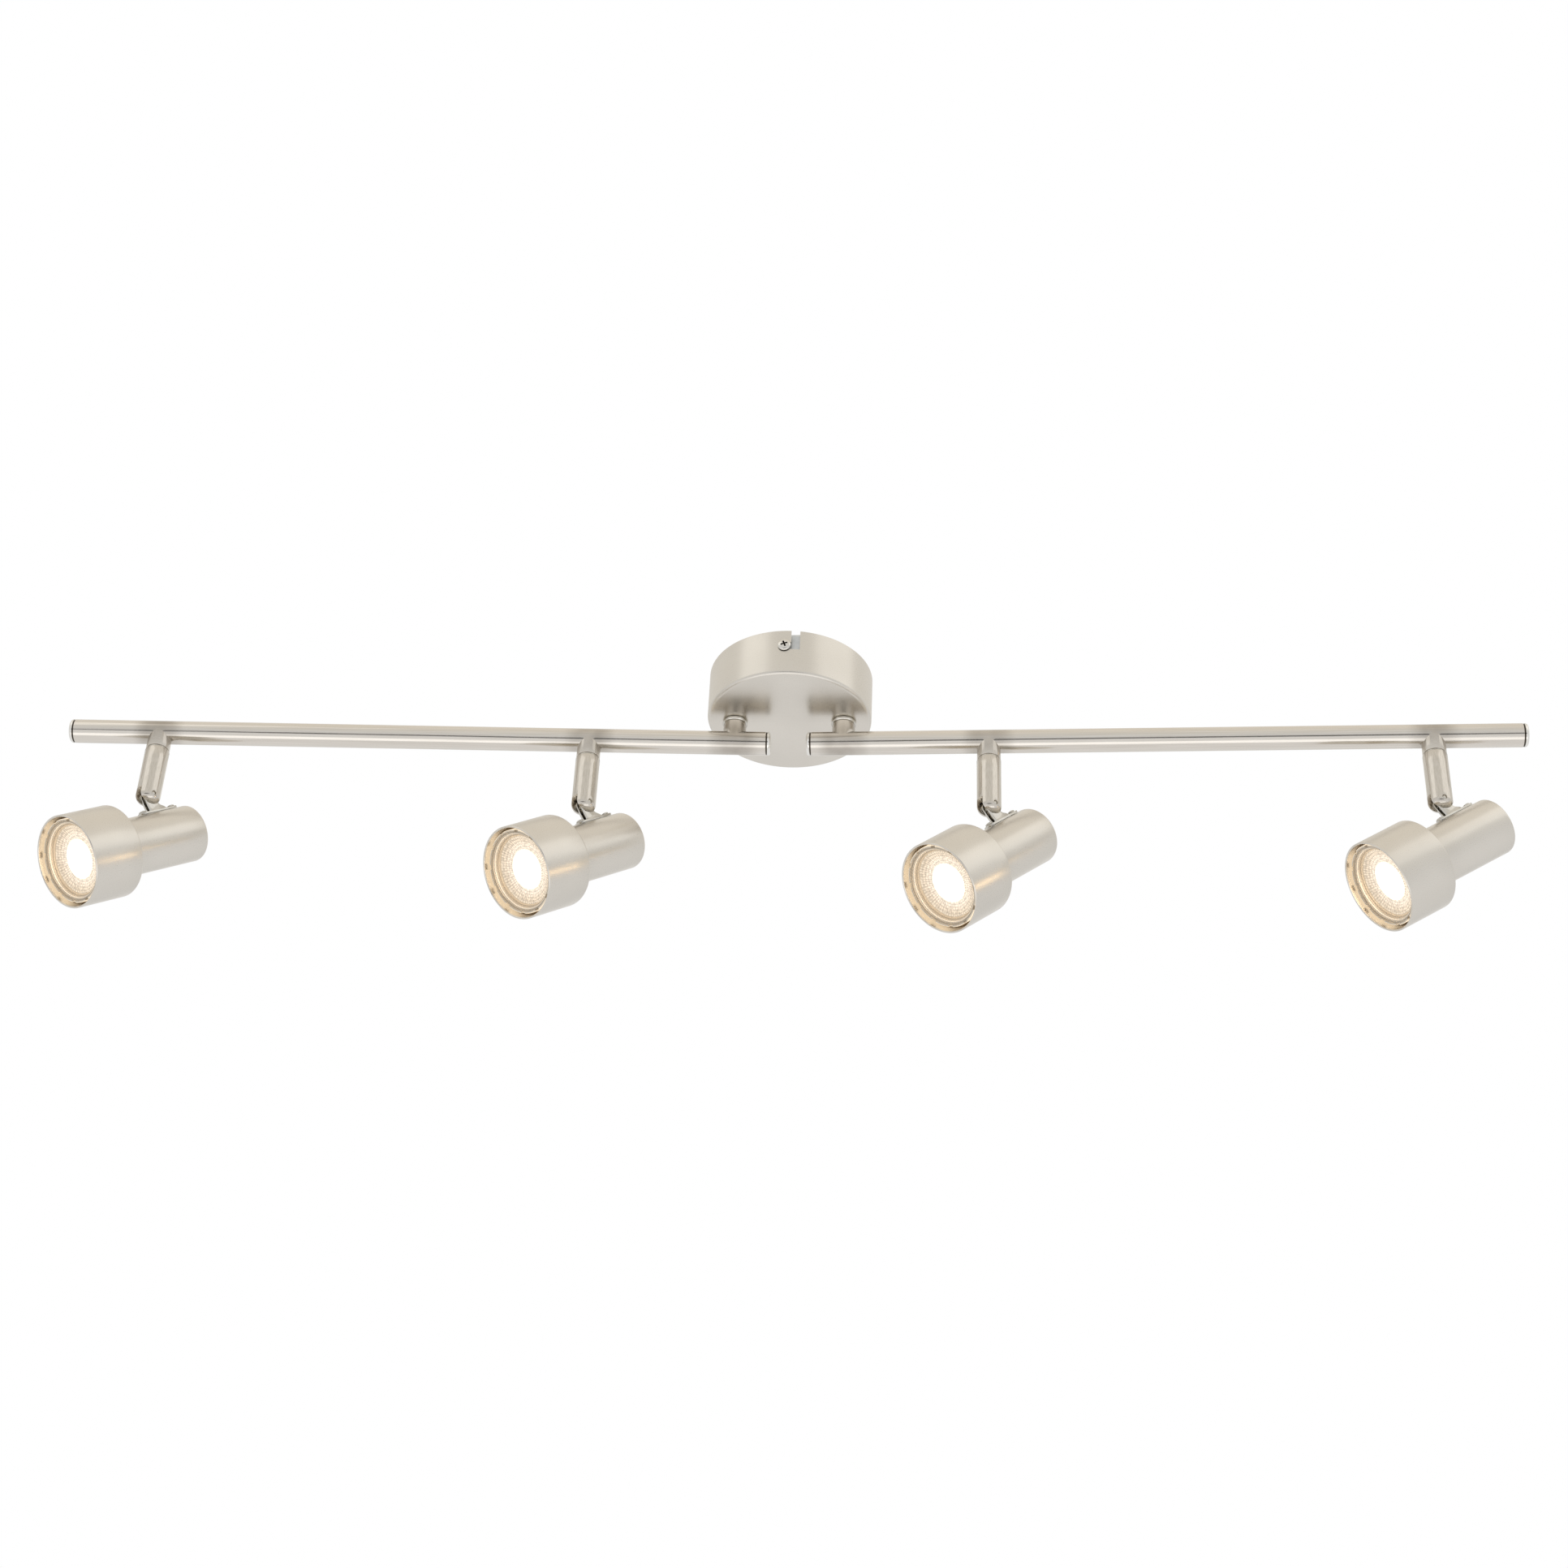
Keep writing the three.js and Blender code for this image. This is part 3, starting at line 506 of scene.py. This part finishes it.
bump = node(tree, "ShaderNodeBump", {
    "Height": lines.outputs["Fac"], "Strength": 0.08, "Distance": 0.0001})
tree.links.new(heated.outputs["Result"], shader.inputs["Base Color"])
tree.links.new(gloss.outputs["Result"], shader.inputs["Roughness"])
tree.links.new(bump.outputs["Normal"], shader.inputs["Normal"])

along_x = Matrix.Translation((0, 0, rail_z * mm)) @ Matrix.Rotation(math.radians(90), 4, "Y")
near_boss = [offset * 1.9 for offset in range(-5, 6)]
loops = [rail_inner + 0.3, *near_boss, *[x + n for x in stations for n in near_boss], 150, 220, 290,
         rail_outer - 0.3]
post_top = -rose_height - 0.3 - washer_height
rail = turned("rail_left", [
    (rail_radius - 0.3, rail_inner), *[(rail_radius, x) for x in sorted(loops)],
    (rail_radius - 0.3, rail_outer)], 96)
moved(rail, along_x)
post_boss = turned("boss", [
    (post_boss_radius, rail_z), (post_boss_radius, post_top - 0.5),
    (post_boss_radius - 0.15, post_top - 0.15), (post_boss_radius - 0.5, post_top)], 96)
cut(rail, [post_boss], "UNION")
for x in stations:
    boss = turned("boss", [
        (4.1, -80), (4.1, boss_bottom), (boss_radius - 0.5, boss_bottom),
        (boss_radius - 0.15, boss_bottom + 0.15), (boss_radius, boss_bottom + 0.5),
        (boss_radius, rail_z)], 96)
    cut(rail, [moved(boss, Matrix.Translation((x * mm, 0, 0)))], "UNION")
rail_bore = rail_radius - rail_wall
bore = turned("bore", [(rail_bore, rail_inner - 5), (rail_bore, rail_outer + 5)], 64)
cut(rail, [moved(bore, along_x), turned("bore", [(post_bore, rail_z), (post_bore, post_top + 2)], 48)])
for x in stations:
    wire_way = turned("way", [(2.6, -82), (2.6, rail_z)], 32)
    cut(rail, [moved(wire_way, Matrix.Translation((x * mm, 0, 0)))])
smooth(rail, 30)

# Bright plate again, on the rail plugs, with painted shade in the seam at the tube, where the groove lies in
# shadow.
plug_nickel, tree, shader, bench = empty_finish("bright_nickel_plug", 1.0)
split = node(tree, "ShaderNodeSeparateXYZ", {0: bench})
haze = node(tree, "ShaderNodeTexNoise", {"Vector": bench, "Scale": 1 / 0.004, "Detail": 4.0})
hazy = node(tree, "ShaderNodeMapRange", {"Value": haze.outputs["Fac"], "To Min": 0.06, "To Max": 0.16})
# Painted shade: the plate is dark within 0.6 mm of the tube end and brightens by 0.9 mm.
outward = node(tree, "ShaderNodeMapRange", {
    "Value": split.outputs["Z"], "From Min": 0.0006, "From Max": 0.0009})
seam_shade = stops(node(tree, "ShaderNodeValToRGB", {"Fac": outward.outputs["Result"]}),
             [(0.0, "#4A443B"), (1.0, "#F1EFEA")])
tree.links.new(seam_shade.outputs["Color"], shader.inputs["Base Color"])
tree.links.new(hazy.outputs["Result"], shader.inputs["Roughness"])

# Each rail end is closed by a bright lens-shaped plug pressed into the tube.
cap = turned("rail_cap_left_outer", [
    (5.6, -5), (5.9, -4.7), (5.9, 0.05), (rail_radius - 0.25, 0.05), (rail_radius - 0.25, 0.7),
    (rail_radius, 0.9),
    *arc(rail_radius - 1.8, 1.0, 1.8, 0, 80, 8), (2.5, 2.79)], 96)
smooth(cap, 32)

# Both rails are turned a little from the X axis, in degrees.
rail_turns = {"left": 180 + 1.5, "right": -1.5}
for side in ("right", "left"):
    swivel = Vector(joints[f"rail_swivel_{side}"]["pos_m"])
    turn = Matrix.Rotation(math.radians(rail_turns[side]), 4, "Z")
    hung = Matrix.Translation((swivel.x, swivel.y, 0)) @ turn
    tube = copy_of(rail, "rail_right") if side == "right" else rail
    place(tube, hung, f"rail_arm_{side}", brushed_nickel, f"rail_{side}")
    for end, x, facing in (("inner", rail_inner, -90), ("outer", rail_outer, 90)):
        name = f"rail_cap_{side}_{end}"
        plug = cap if name == "rail_cap_left_outer" else copy_of(cap, name)
        seated = (hung @ Matrix.Translation((x * mm, 0, rail_z * mm))
                  @ Matrix.Rotation(math.radians(facing), 4, "Y"))
        place(plug, seated, f"rail_arm_{side}", plug_nickel, name)

# ---- Stems ----
# Turned steel sleeves with a round nose, finely brushed and nickel plated. Each turns on the
# spigot below its boss, on a thin bright ring, and its nose is slotted for the knuckle.

stem_radius, stem_top, stem_bottom, nose, pivot = 7.3, -62.2, -100.8, 5, -96
pin_eye_radius = 1.42

# Brushed nickel again, on a stem: its lines run up and down.
stem_nickel, tree, shader, bench = empty_finish("brushed_nickel_stem", 1.0)
drawn_out = node(tree, "ShaderNodeMapping", {
    "Vector": bench, "Scale": (1 / 0.00035, 1 / 0.00035, 1 / 0.004)})
lines = node(tree, "ShaderNodeTexNoise", {"Vector": drawn_out.outputs["Vector"], "Scale": 1.0, "Detail": 3.0})
plate = stops(node(tree, "ShaderNodeValToRGB", {"Fac": lines.outputs["Fac"]}),
              [(0.3, "#CDC7BD"), (0.7, "#DED8CF")])
gloss = node(tree, "ShaderNodeMapRange", {"Value": lines.outputs["Fac"], "To Min": 0.11, "To Max": 0.2})
bump = node(tree, "ShaderNodeBump", {"Height": lines.outputs["Fac"], "Strength": 0.08, "Distance": 0.0001})
tree.links.new(plate.outputs["Color"], shader.inputs["Base Color"])
tree.links.new(gloss.outputs["Result"], shader.inputs["Roughness"])
tree.links.new(bump.outputs["Normal"], shader.inputs["Normal"])

# On the bench, X points the way that the lamp will face.
stem = turned("stem", [
    *arc(stem_radius - nose, stem_bottom + 0.2 + nose, nose, -88, 0, 14),
    (stem_radius, -92), (stem_radius, -86), (stem_radius, -80), (stem_radius, -70),
    (stem_radius, stem_top - 0.6), (stem_radius - 0.2, stem_top - 0.2), (stem_radius - 0.6, stem_top)], 96)
slot_width = 5.8
front_top, back_top, below = pivot + 4.2, pivot + 8.9, stem_bottom - 2
spigot_bore = turned("bore", [(4.5, -84), (4.5, stem_top + 2)], 48)
wire_way = moved(turned("way", [(1.6, pivot), (1.6, -83)], 24), Matrix.Translation((1.7 * mm, 0, 0)))
front_slot = box_tool((20, slot_width, front_top - below), (0, 0, (front_top + below) / 2))
back_slot = box_tool((10, slot_width, back_top - below), (-5, 0, (back_top + below) / 2))
pin_hole = moved(turned("hole", [(pin_eye_radius, -10), (pin_eye_radius, 10)], 32),
                 Matrix.Translation((0, 0, pivot * mm)) @ Matrix.Rotation(math.radians(90), 4, "X"))
cut(stem, [spigot_bore, wire_way, front_slot, back_slot, pin_hole])
soften(stem, 0.15, 38)

stem_ring = turned("stem_washer", [
    (4.4, stem_top + 0.1), (boss_radius - 0.62, stem_top + 0.1), (boss_radius - 0.5, stem_top + 0.22),
    (boss_radius - 0.5, boss_bottom - 0.22), (boss_radius - 0.62, boss_bottom - 0.1),
    (4.4, boss_bottom - 0.1)], 96, ring=True)
smooth(stem_ring, 30)

pin = turned("knuckle_pin", [(1.0, -6.7), (1.3, -6.4), (1.3, 6.4), (1.0, 6.7)], 32)
smooth(pin, 50)
moved(pin, Matrix.Translation((0, 0, pivot * mm)) @ Matrix.Rotation(math.radians(90), 4, "X"))

# ---- Knuckle brackets ----
# Pressed steel, bright nickel plated: a plate curved to the can, held by two small screws,
# with two upright cheeks that go up into the stem's slot and turn on the pin.

can_radius, axis_drop, reach, setback, screw_x = 17.1, 27.7, 38.6, 2.3, 10.6
plate_in = can_radius + 0.2
plate_out = plate_in + 1.2
can_line = Matrix.Translation((0, 0, -axis_drop * mm)) @ Matrix.Rotation(math.radians(90), 4, "Y")
bracket = turned("knuckle_bracket", [
    (plate_in, -13.3), (plate_out, -13.3), (plate_out, 13.3), (plate_in, 13.3)], 240, ring=True)
moved(bracket, can_line)
plan = box_tool((26.6, 8.4, 12), (0, 0, -axis_drop + plate_in))
bpy.ops.object.mode_set(mode="EDIT")
bpy.ops.mesh.select_all(action="DESELECT")
edit = bmesh.from_edit_mesh(plan.data)
for edge in edit.edges:
    a, b = (v.co for v in edge.verts)
    if abs(a.x - b.x) < 1e-6 and abs(a.y - b.y) < 1e-6:
        edge.select = True
bmesh.update_edit_mesh(plan.data)
bpy.ops.mesh.bevel(offset=3 * mm, segments=8, affect="EDGES")
bpy.ops.object.mode_set(mode="OBJECT")
cut(bracket, [plan], "INTERSECT")
moved(bracket, Matrix.Translation((-setback * mm, 0, 0)))
foot, wing, tongue = -axis_drop + plate_in + 0.4, -axis_drop + plate_out + 3.4, 3.8
cheeks = []
for y in (-1.9, 1.9):
    cheek = box_tool((2 * tongue, 1.4, tongue - wing), (0, y, (tongue + wing) / 2))
    bpy.ops.object.mode_set(mode="EDIT")
    bpy.ops.mesh.select_all(action="DESELECT")
    edit = bmesh.from_edit_mesh(cheek.data)
    for edge in edit.edges:
        if all(v.co.z > 0 for v in edge.verts) and abs(edge.verts[0].co.x - edge.verts[1].co.x) < 1e-6:
            edge.select = True
    bmesh.update_edit_mesh(cheek.data)
    bpy.ops.mesh.bevel(offset=tongue * 0.98 * mm, segments=10, affect="EDGES")
    bpy.ops.mesh.select_all(action="DESELECT")
    edit = bmesh.from_edit_mesh(cheek.data)
    for face in edit.faces:
        if face.normal.z < -0.9:
            face.select = True
    bmesh.update_edit_mesh(cheek.data)
    for drop, widen, thicken, shift in (
        (1.0, 1.08, 1, -0.4), (1.4, 1.25, 1.15, -1.2), (wing - foot - 2.4, 1.12, 1.6, -0.5),
    ):
        bpy.ops.mesh.extrude_region_move(TRANSFORM_OT_translate={
            "value": (shift * mm, 0, -drop * mm), "orient_type": "GLOBAL"})
        bpy.ops.transform.resize(value=(widen, thicken, 1))
    bpy.ops.object.mode_set(mode="OBJECT")
    cheeks.append(cheek)
cut(bracket, cheeks, "UNION")
pin_eye = moved(turned("eye", [(pin_eye_radius, -6), (pin_eye_radius, 6)], 32),
                Matrix.Rotation(math.radians(90), 4, "X"))
screw_eyes = [moved(turned("eye", [(1.6, foot - 3), (1.6, foot + 4)], 32),
                    Matrix.Translation(((x - setback) * mm, 0, 0))) for x in (screw_x, -screw_x)]
cut(bracket, [pin_eye, *screw_eyes])
soften(bracket, 0.18, 40)

plate_screw = pan_screw("bracket_screw", 2.3, 1.3, 1.35, 5.2, 1.15)

# ---- Head shells ----
# Each head is one spun steel shell, satin nickel plated: a slim can for the holder and the
# connections, a crisp square shoulder, and a wide open cup round the lamp.

can_length, cup_radius, cup_length, shell_wall = 57.8, 27.6, 33.6, 1.1
shell = turned("head_shell", [
    *arc(can_radius - 1.6, -can_length + 1.6, 1.6, -90, 0, 6),
    (can_radius, -40), (can_radius, -20), (can_radius, 0),
    *arc(cup_radius - 1, 1, 1, -90, 0, 5),
    (cup_radius, 12), (cup_radius, 24), (cup_radius, cup_length - 0.3), (cup_radius - 0.3, cup_length),
    (cup_radius - shell_wall + 0.3, cup_length), (cup_radius - shell_wall, cup_length - 0.3),
    (cup_radius - shell_wall, 20), (cup_radius - shell_wall, shell_wall + 0.8),
    (cup_radius - shell_wall - 0.8, shell_wall), (can_radius - shell_wall, shell_wall),
    (can_radius - shell_wall, -can_length + shell_wall + 0.8),
    (can_radius - shell_wall - 0.8, -can_length + shell_wall)], 192)
smooth(shell, 32)

# ---- Lamps ----
# Twist-in 50 mm reflector lamps: a moulded body with a notched rim and stepped clear ridges,
# and a clear front lens with a toothed middle. They are lit, warm white.

lamp_radius, lamp_face, lamp_base, window = 24.9, cup_length - 2.8, -15.7, 20.6
lens_steps = 192
body = turned("lamp_body", [
    (12.4, lamp_base), (12.8, lamp_base + 0.4), (12.8, 2), (lamp_radius - 3, lamp_face - 9),
    (lamp_radius, lamp_face - 5.4), (lamp_radius, lamp_face - 0.3), (lamp_radius - 0.3, lamp_face),
    (lamp_radius - 1.2, lamp_face), (lamp_radius - 1.5, lamp_face - 0.9),
    (lamp_radius - 2.0, lamp_face - 0.9), (lamp_radius - 2.2, lamp_face - 1.7),
    (lamp_radius - 2.7, lamp_face - 1.7),
    (lamp_radius - 2.9, lamp_face - 2.6), (lamp_radius - 3.3, lamp_face - 2.6),
    (lamp_radius - 3.5, lamp_face - 3.5), (window + 0.3, lamp_face - 3.5), (window, lamp_face - 4.4),
    (window, lamp_face - 8.4)], 192)
for i in range(12):
    notch = box_tool((2.4, 3.2, 2), (lamp_radius, 0, lamp_face - 0.4), i * 30)
    cut(body, [notch])
for x in (-5, 5):
    contact = turned("contact", [
        (2.2, lamp_base - 7.2), (2.4, lamp_base - 7.0), (2.4, lamp_base - 3.4), (1.5, lamp_base - 3),
        (1.5, lamp_base + 1)], 32)
    cut(body, [moved(contact, Matrix.Translation((x * mm, 0, 0)))], "UNION")
smooth(body, 25)

lens_floor = lamp_face - 8.2
lens = turned("lamp_lens", [
    (window - 0.5, lens_floor), (window - 0.3, lens_floor + 0.2), (window - 0.3, lamp_face - 4.8),
    (window - 0.5, lamp_face - 4.6), (window - 1.3, lamp_face - 4.6), (window - 1.6, lamp_face - 5.0),
    (18.2, lamp_face - 5.3), (17.9, lamp_face - 5.7), (15.6, lamp_face - 6.3), (15.3, lamp_face - 6.7),
    (13.4, lamp_face - 7.1), (12.6, lamp_face - 7.2), (12.2, lamp_face - 6.4),
    *[(12 * math.cos(math.radians(a)), lamp_face - 6.6 + 1.8 * math.sin(math.radians(a)))
      for a in (12, 22, 32, 42, 52, 62, 72, 82)]], lens_steps)
# Every other pair of small faces round the middle is raised as a tooth.
bpy.ops.object.mode_set(mode="EDIT")
bpy.ops.mesh.select_all(action="DESELECT")
edit = bmesh.from_edit_mesh(lens.data)
bmesh.ops.recalc_face_normals(edit, faces=edit.faces)
for face in edit.faces:
    centre = face.calc_center_median()
    sector = int((math.atan2(centre.y, centre.x) % math.tau) / math.tau * lens_steps)
    radius = math.hypot(centre.x, centre.y) / mm
    if 12.1 < radius < 12.55 and centre.z > (lamp_face - 7.3) * mm and sector % 4 < 2:
        face.select = True
bmesh.update_edit_mesh(lens.data)
bpy.ops.mesh.extrude_region_move(TRANSFORM_OT_translate={
    "value": (0, 0, 0.5 * mm), "orient_type": "GLOBAL"})
bpy.ops.object.mode_set(mode="OBJECT")
smooth(lens, 30)

# Clear polycarbonate over a white moulding: its ridges carry painted highlights and painted shade in white
# and grey.
lamp_plastic, tree, shader, bench = empty_finish("clear_polycarbonate_rim", 0.0)
shader.inputs["Roughness"].default_value = 0.12
shader.inputs["IOR"].default_value = 1.58
split = node(tree, "ShaderNodeSeparateXYZ", {0: bench})
flat = node(tree, "ShaderNodeCombineXYZ", {"X": split.outputs["X"], "Y": split.outputs["Y"]})
from_axis = node(tree, "ShaderNodeVectorMath", {0: flat.outputs[0]}, operation="LENGTH")
# The clear steps are painted as rings of grey shade and cream highlight, about 1.5 mm apart.
across_rim = node(tree, "ShaderNodeMapRange", {
    "Value": from_axis.outputs["Value"], "From Min": 0.0196, "From Max": 0.0249})
bands = stops(node(tree, "ShaderNodeValToRGB", {"Fac": across_rim.outputs["Result"]}), [
    (0.0, "#F6EBDB"), (0.1, "#FFF9EE"), (0.24, "#A89C8B"), (0.38, "#B4A999"), (0.5, "#F2EBE0"),
    (0.62, "#9C9385"), (0.78, "#A39A8C"), (0.9, "#E2DACE"), (1.0, "#C9BFAF")])
glow = stops(node(tree, "ShaderNodeValToRGB", {"Fac": across_rim.outputs["Result"]}), [
    (0.0, "#8A7152"), (0.3, "#6B5D4B"), (0.7, "#4E463B"), (0.93, "#4A4238"), (0.985, "#F0DEC4")])
tree.links.new(bands.outputs["Color"], shader.inputs["Base Color"])
tree.links.new(glow.outputs["Color"], shader.inputs["Emission Color"])
shader.inputs["Emission Strength"].default_value = 1.0

# The lit lens: white-hot in the middle, cream over the dished ring, with fine spokes.
lamp_window, tree, shader, bench = empty_finish("lit_polycarbonate_lens", 0.0)
shader.inputs["Roughness"].default_value = 0.1
shader.inputs["IOR"].default_value = 1.58
split = node(tree, "ShaderNodeSeparateXYZ", {0: bench})
flat = node(tree, "ShaderNodeCombineXYZ", {"X": split.outputs["X"], "Y": split.outputs["Y"]})
from_axis = node(tree, "ShaderNodeVectorMath", {0: flat.outputs[0]}, operation="LENGTH")
out = node(tree, "ShaderNodeMapRange", {
    "Value": from_axis.outputs["Value"], "From Min": 0.0, "From Max": 0.0205})
colour = stops(node(tree, "ShaderNodeValToRGB", {"Fac": out.outputs["Result"]}), [
    (0.0, "#FFD9A6"), (0.5, "#FFE2BC"), (0.6, "#FDEFDB"), (0.72, "#FBEAD5"), (0.86, "#F4E1C8"),
    (1.0, "#EBDBC3")])
power = stops(node(tree, "ShaderNodeValToRGB", {"Fac": out.outputs["Result"]}), [
    (0.0, 1.0), (0.45, 0.7), (0.57, 0.16), (0.6, 0.075), (0.63, 0.095), (0.66, 0.07), (0.7, 0.1),
    (0.74, 0.072), (0.78, 0.098), (0.82, 0.066), (0.86, 0.09), (0.91, 0.062), (0.95, 0.085), (1.0, 0.06)])
turn_angle = node(tree, "ShaderNodeMath", {0: split.outputs["Y"], 1: split.outputs["X"]},
                  operation="ARCTAN2")
# Spokes moulded into the ring, 72 round the lens.
spoke = node(tree, "ShaderNodeMath", {0: turn_angle.outputs[0], 1: 72.0}, operation="MULTIPLY")
spoke = node(tree, "ShaderNodeMath", {0: spoke.outputs[0]}, operation="SINE")
spoke = node(tree, "ShaderNodeMapRange", {
    "Value": spoke.outputs[0], "From Min": -1.0, "To Min": 8.5, "To Max": 11.5})
strength = node(tree, "ShaderNodeMath", {0: power.outputs["Color"], 1: spoke.outputs["Result"]},
                operation="MULTIPLY")
# Small dimples in the moulding, 1.3 mm apart, scatter the light unevenly.
dimples = node(tree, "ShaderNodeTexVoronoi", {"Vector": bench, "Scale": 1 / 0.0013})
uneven = node(tree, "ShaderNodeMapRange", {
    "Value": dimples.outputs["Distance"], "From Max": 0.7, "To Min": 1.4, "To Max": 0.85})
strength = node(tree, "ShaderNodeMath", {0: strength.outputs[0], 1: uneven.outputs["Result"]},
                operation="MULTIPLY")
shader.inputs["Base Color"].default_value = linear("#5E5346")
tree.links.new(colour.outputs["Color"], shader.inputs["Emission Color"])
tree.links.new(strength.outputs[0], shader.inputs["Emission Strength"])

# ---- Lampholders ----
# Pressed steatite, unglazed: hidden in the can behind the lamp, held by the front bracket
# screw, with two round sockets for the lamp's pins.

steatite, tree, shader, in_place = empty_finish("unglazed_steatite", 0.0, on_cad_node=True)
shader.inputs["Roughness"].default_value = 0.6
speck = node(tree, "ShaderNodeTexNoise", {"Vector": in_place, "Scale": 1 / 0.0007, "Detail": 4.0})
chalk = stops(node(tree, "ShaderNodeValToRGB", {"Fac": speck.outputs["Fac"]}),
              [(0.3, "#DDD6C6"), (0.7, "#EFEADF")])
tree.links.new(chalk.outputs["Color"], shader.inputs["Base Color"])

# ---- Hanging the stems and heads ----
# Each stem hangs on its spigot, turned to its own direction. Each head, with its bracket, screws
# and lamp, hangs on the stem's pin, tilted down from level.

spot_rests = {
    "right_outer": (-168.7, 34.7), "right_inner": (-147.2, 41.9),
    "left_inner": (-138.6, 36.6), "left_outer": (-135.0, 36.6),
}
seat = (-axis_drop + plate_out + 0.1) * mm
for name, (turn, tilt) in spot_rests.items():
    spot = Vector(joints[f"spot_turn_{name}"]["pos_m"])
    hung = Matrix.Translation((spot.x, spot.y, 0)) @ Matrix.Rotation(math.radians(turn), 4, "Z")
    for pattern, slot, finish in (
        (stem, "brushed_nickel", stem_nickel), (stem_ring, "bright_nickel", bright_nickel),
        (pin, "bright_nickel", bright_nickel),
    ):
        label = f"{pattern.name}_{name}"
        place(copy_of(pattern, label), hung, f"stem_arm_{name}", finish, label)
    tilted = hung @ Matrix.Translation((0, 0, pivot * mm)) @ Matrix.Rotation(math.radians(tilt), 4, "Y")
    lamp_line = (tilted @ Matrix.Translation((reach * mm, 0, -axis_drop * mm))
                 @ Matrix.Rotation(math.radians(90), 4, "Y"))
    rides = f"spot_{name}"
    label = f"knuckle_bracket_{name}"
    place(copy_of(bracket, label), tilted, rides, bright_nickel, label)
    for end, x in (("front", screw_x), ("back", -screw_x)):
        label = f"bracket_screw_{end}_{name}"
        place(copy_of(plate_screw, label), tilted @ Matrix.Translation(((x - setback) * mm, 0, seat)),
              rides, bright_nickel, label)
    for pattern, slot, finish in (
        (shell, "satin_nickel", satin_nickel), (body, "lamp_plastic", lamp_plastic),
        (lens, "lamp_window", lamp_window),
    ):
        label = f"{pattern.name}_{name}"
        place(copy_of(pattern, label), lamp_line, rides, finish, label)
    holder = frame["nodes"][f"lampholder_{name}"]
    holder.data.materials.clear()
    holder.data.materials.append(steatite)
for pattern in (stem, stem_ring, pin, bracket, plate_screw, shell, body, lens):
    bpy.data.objects.remove(pattern)
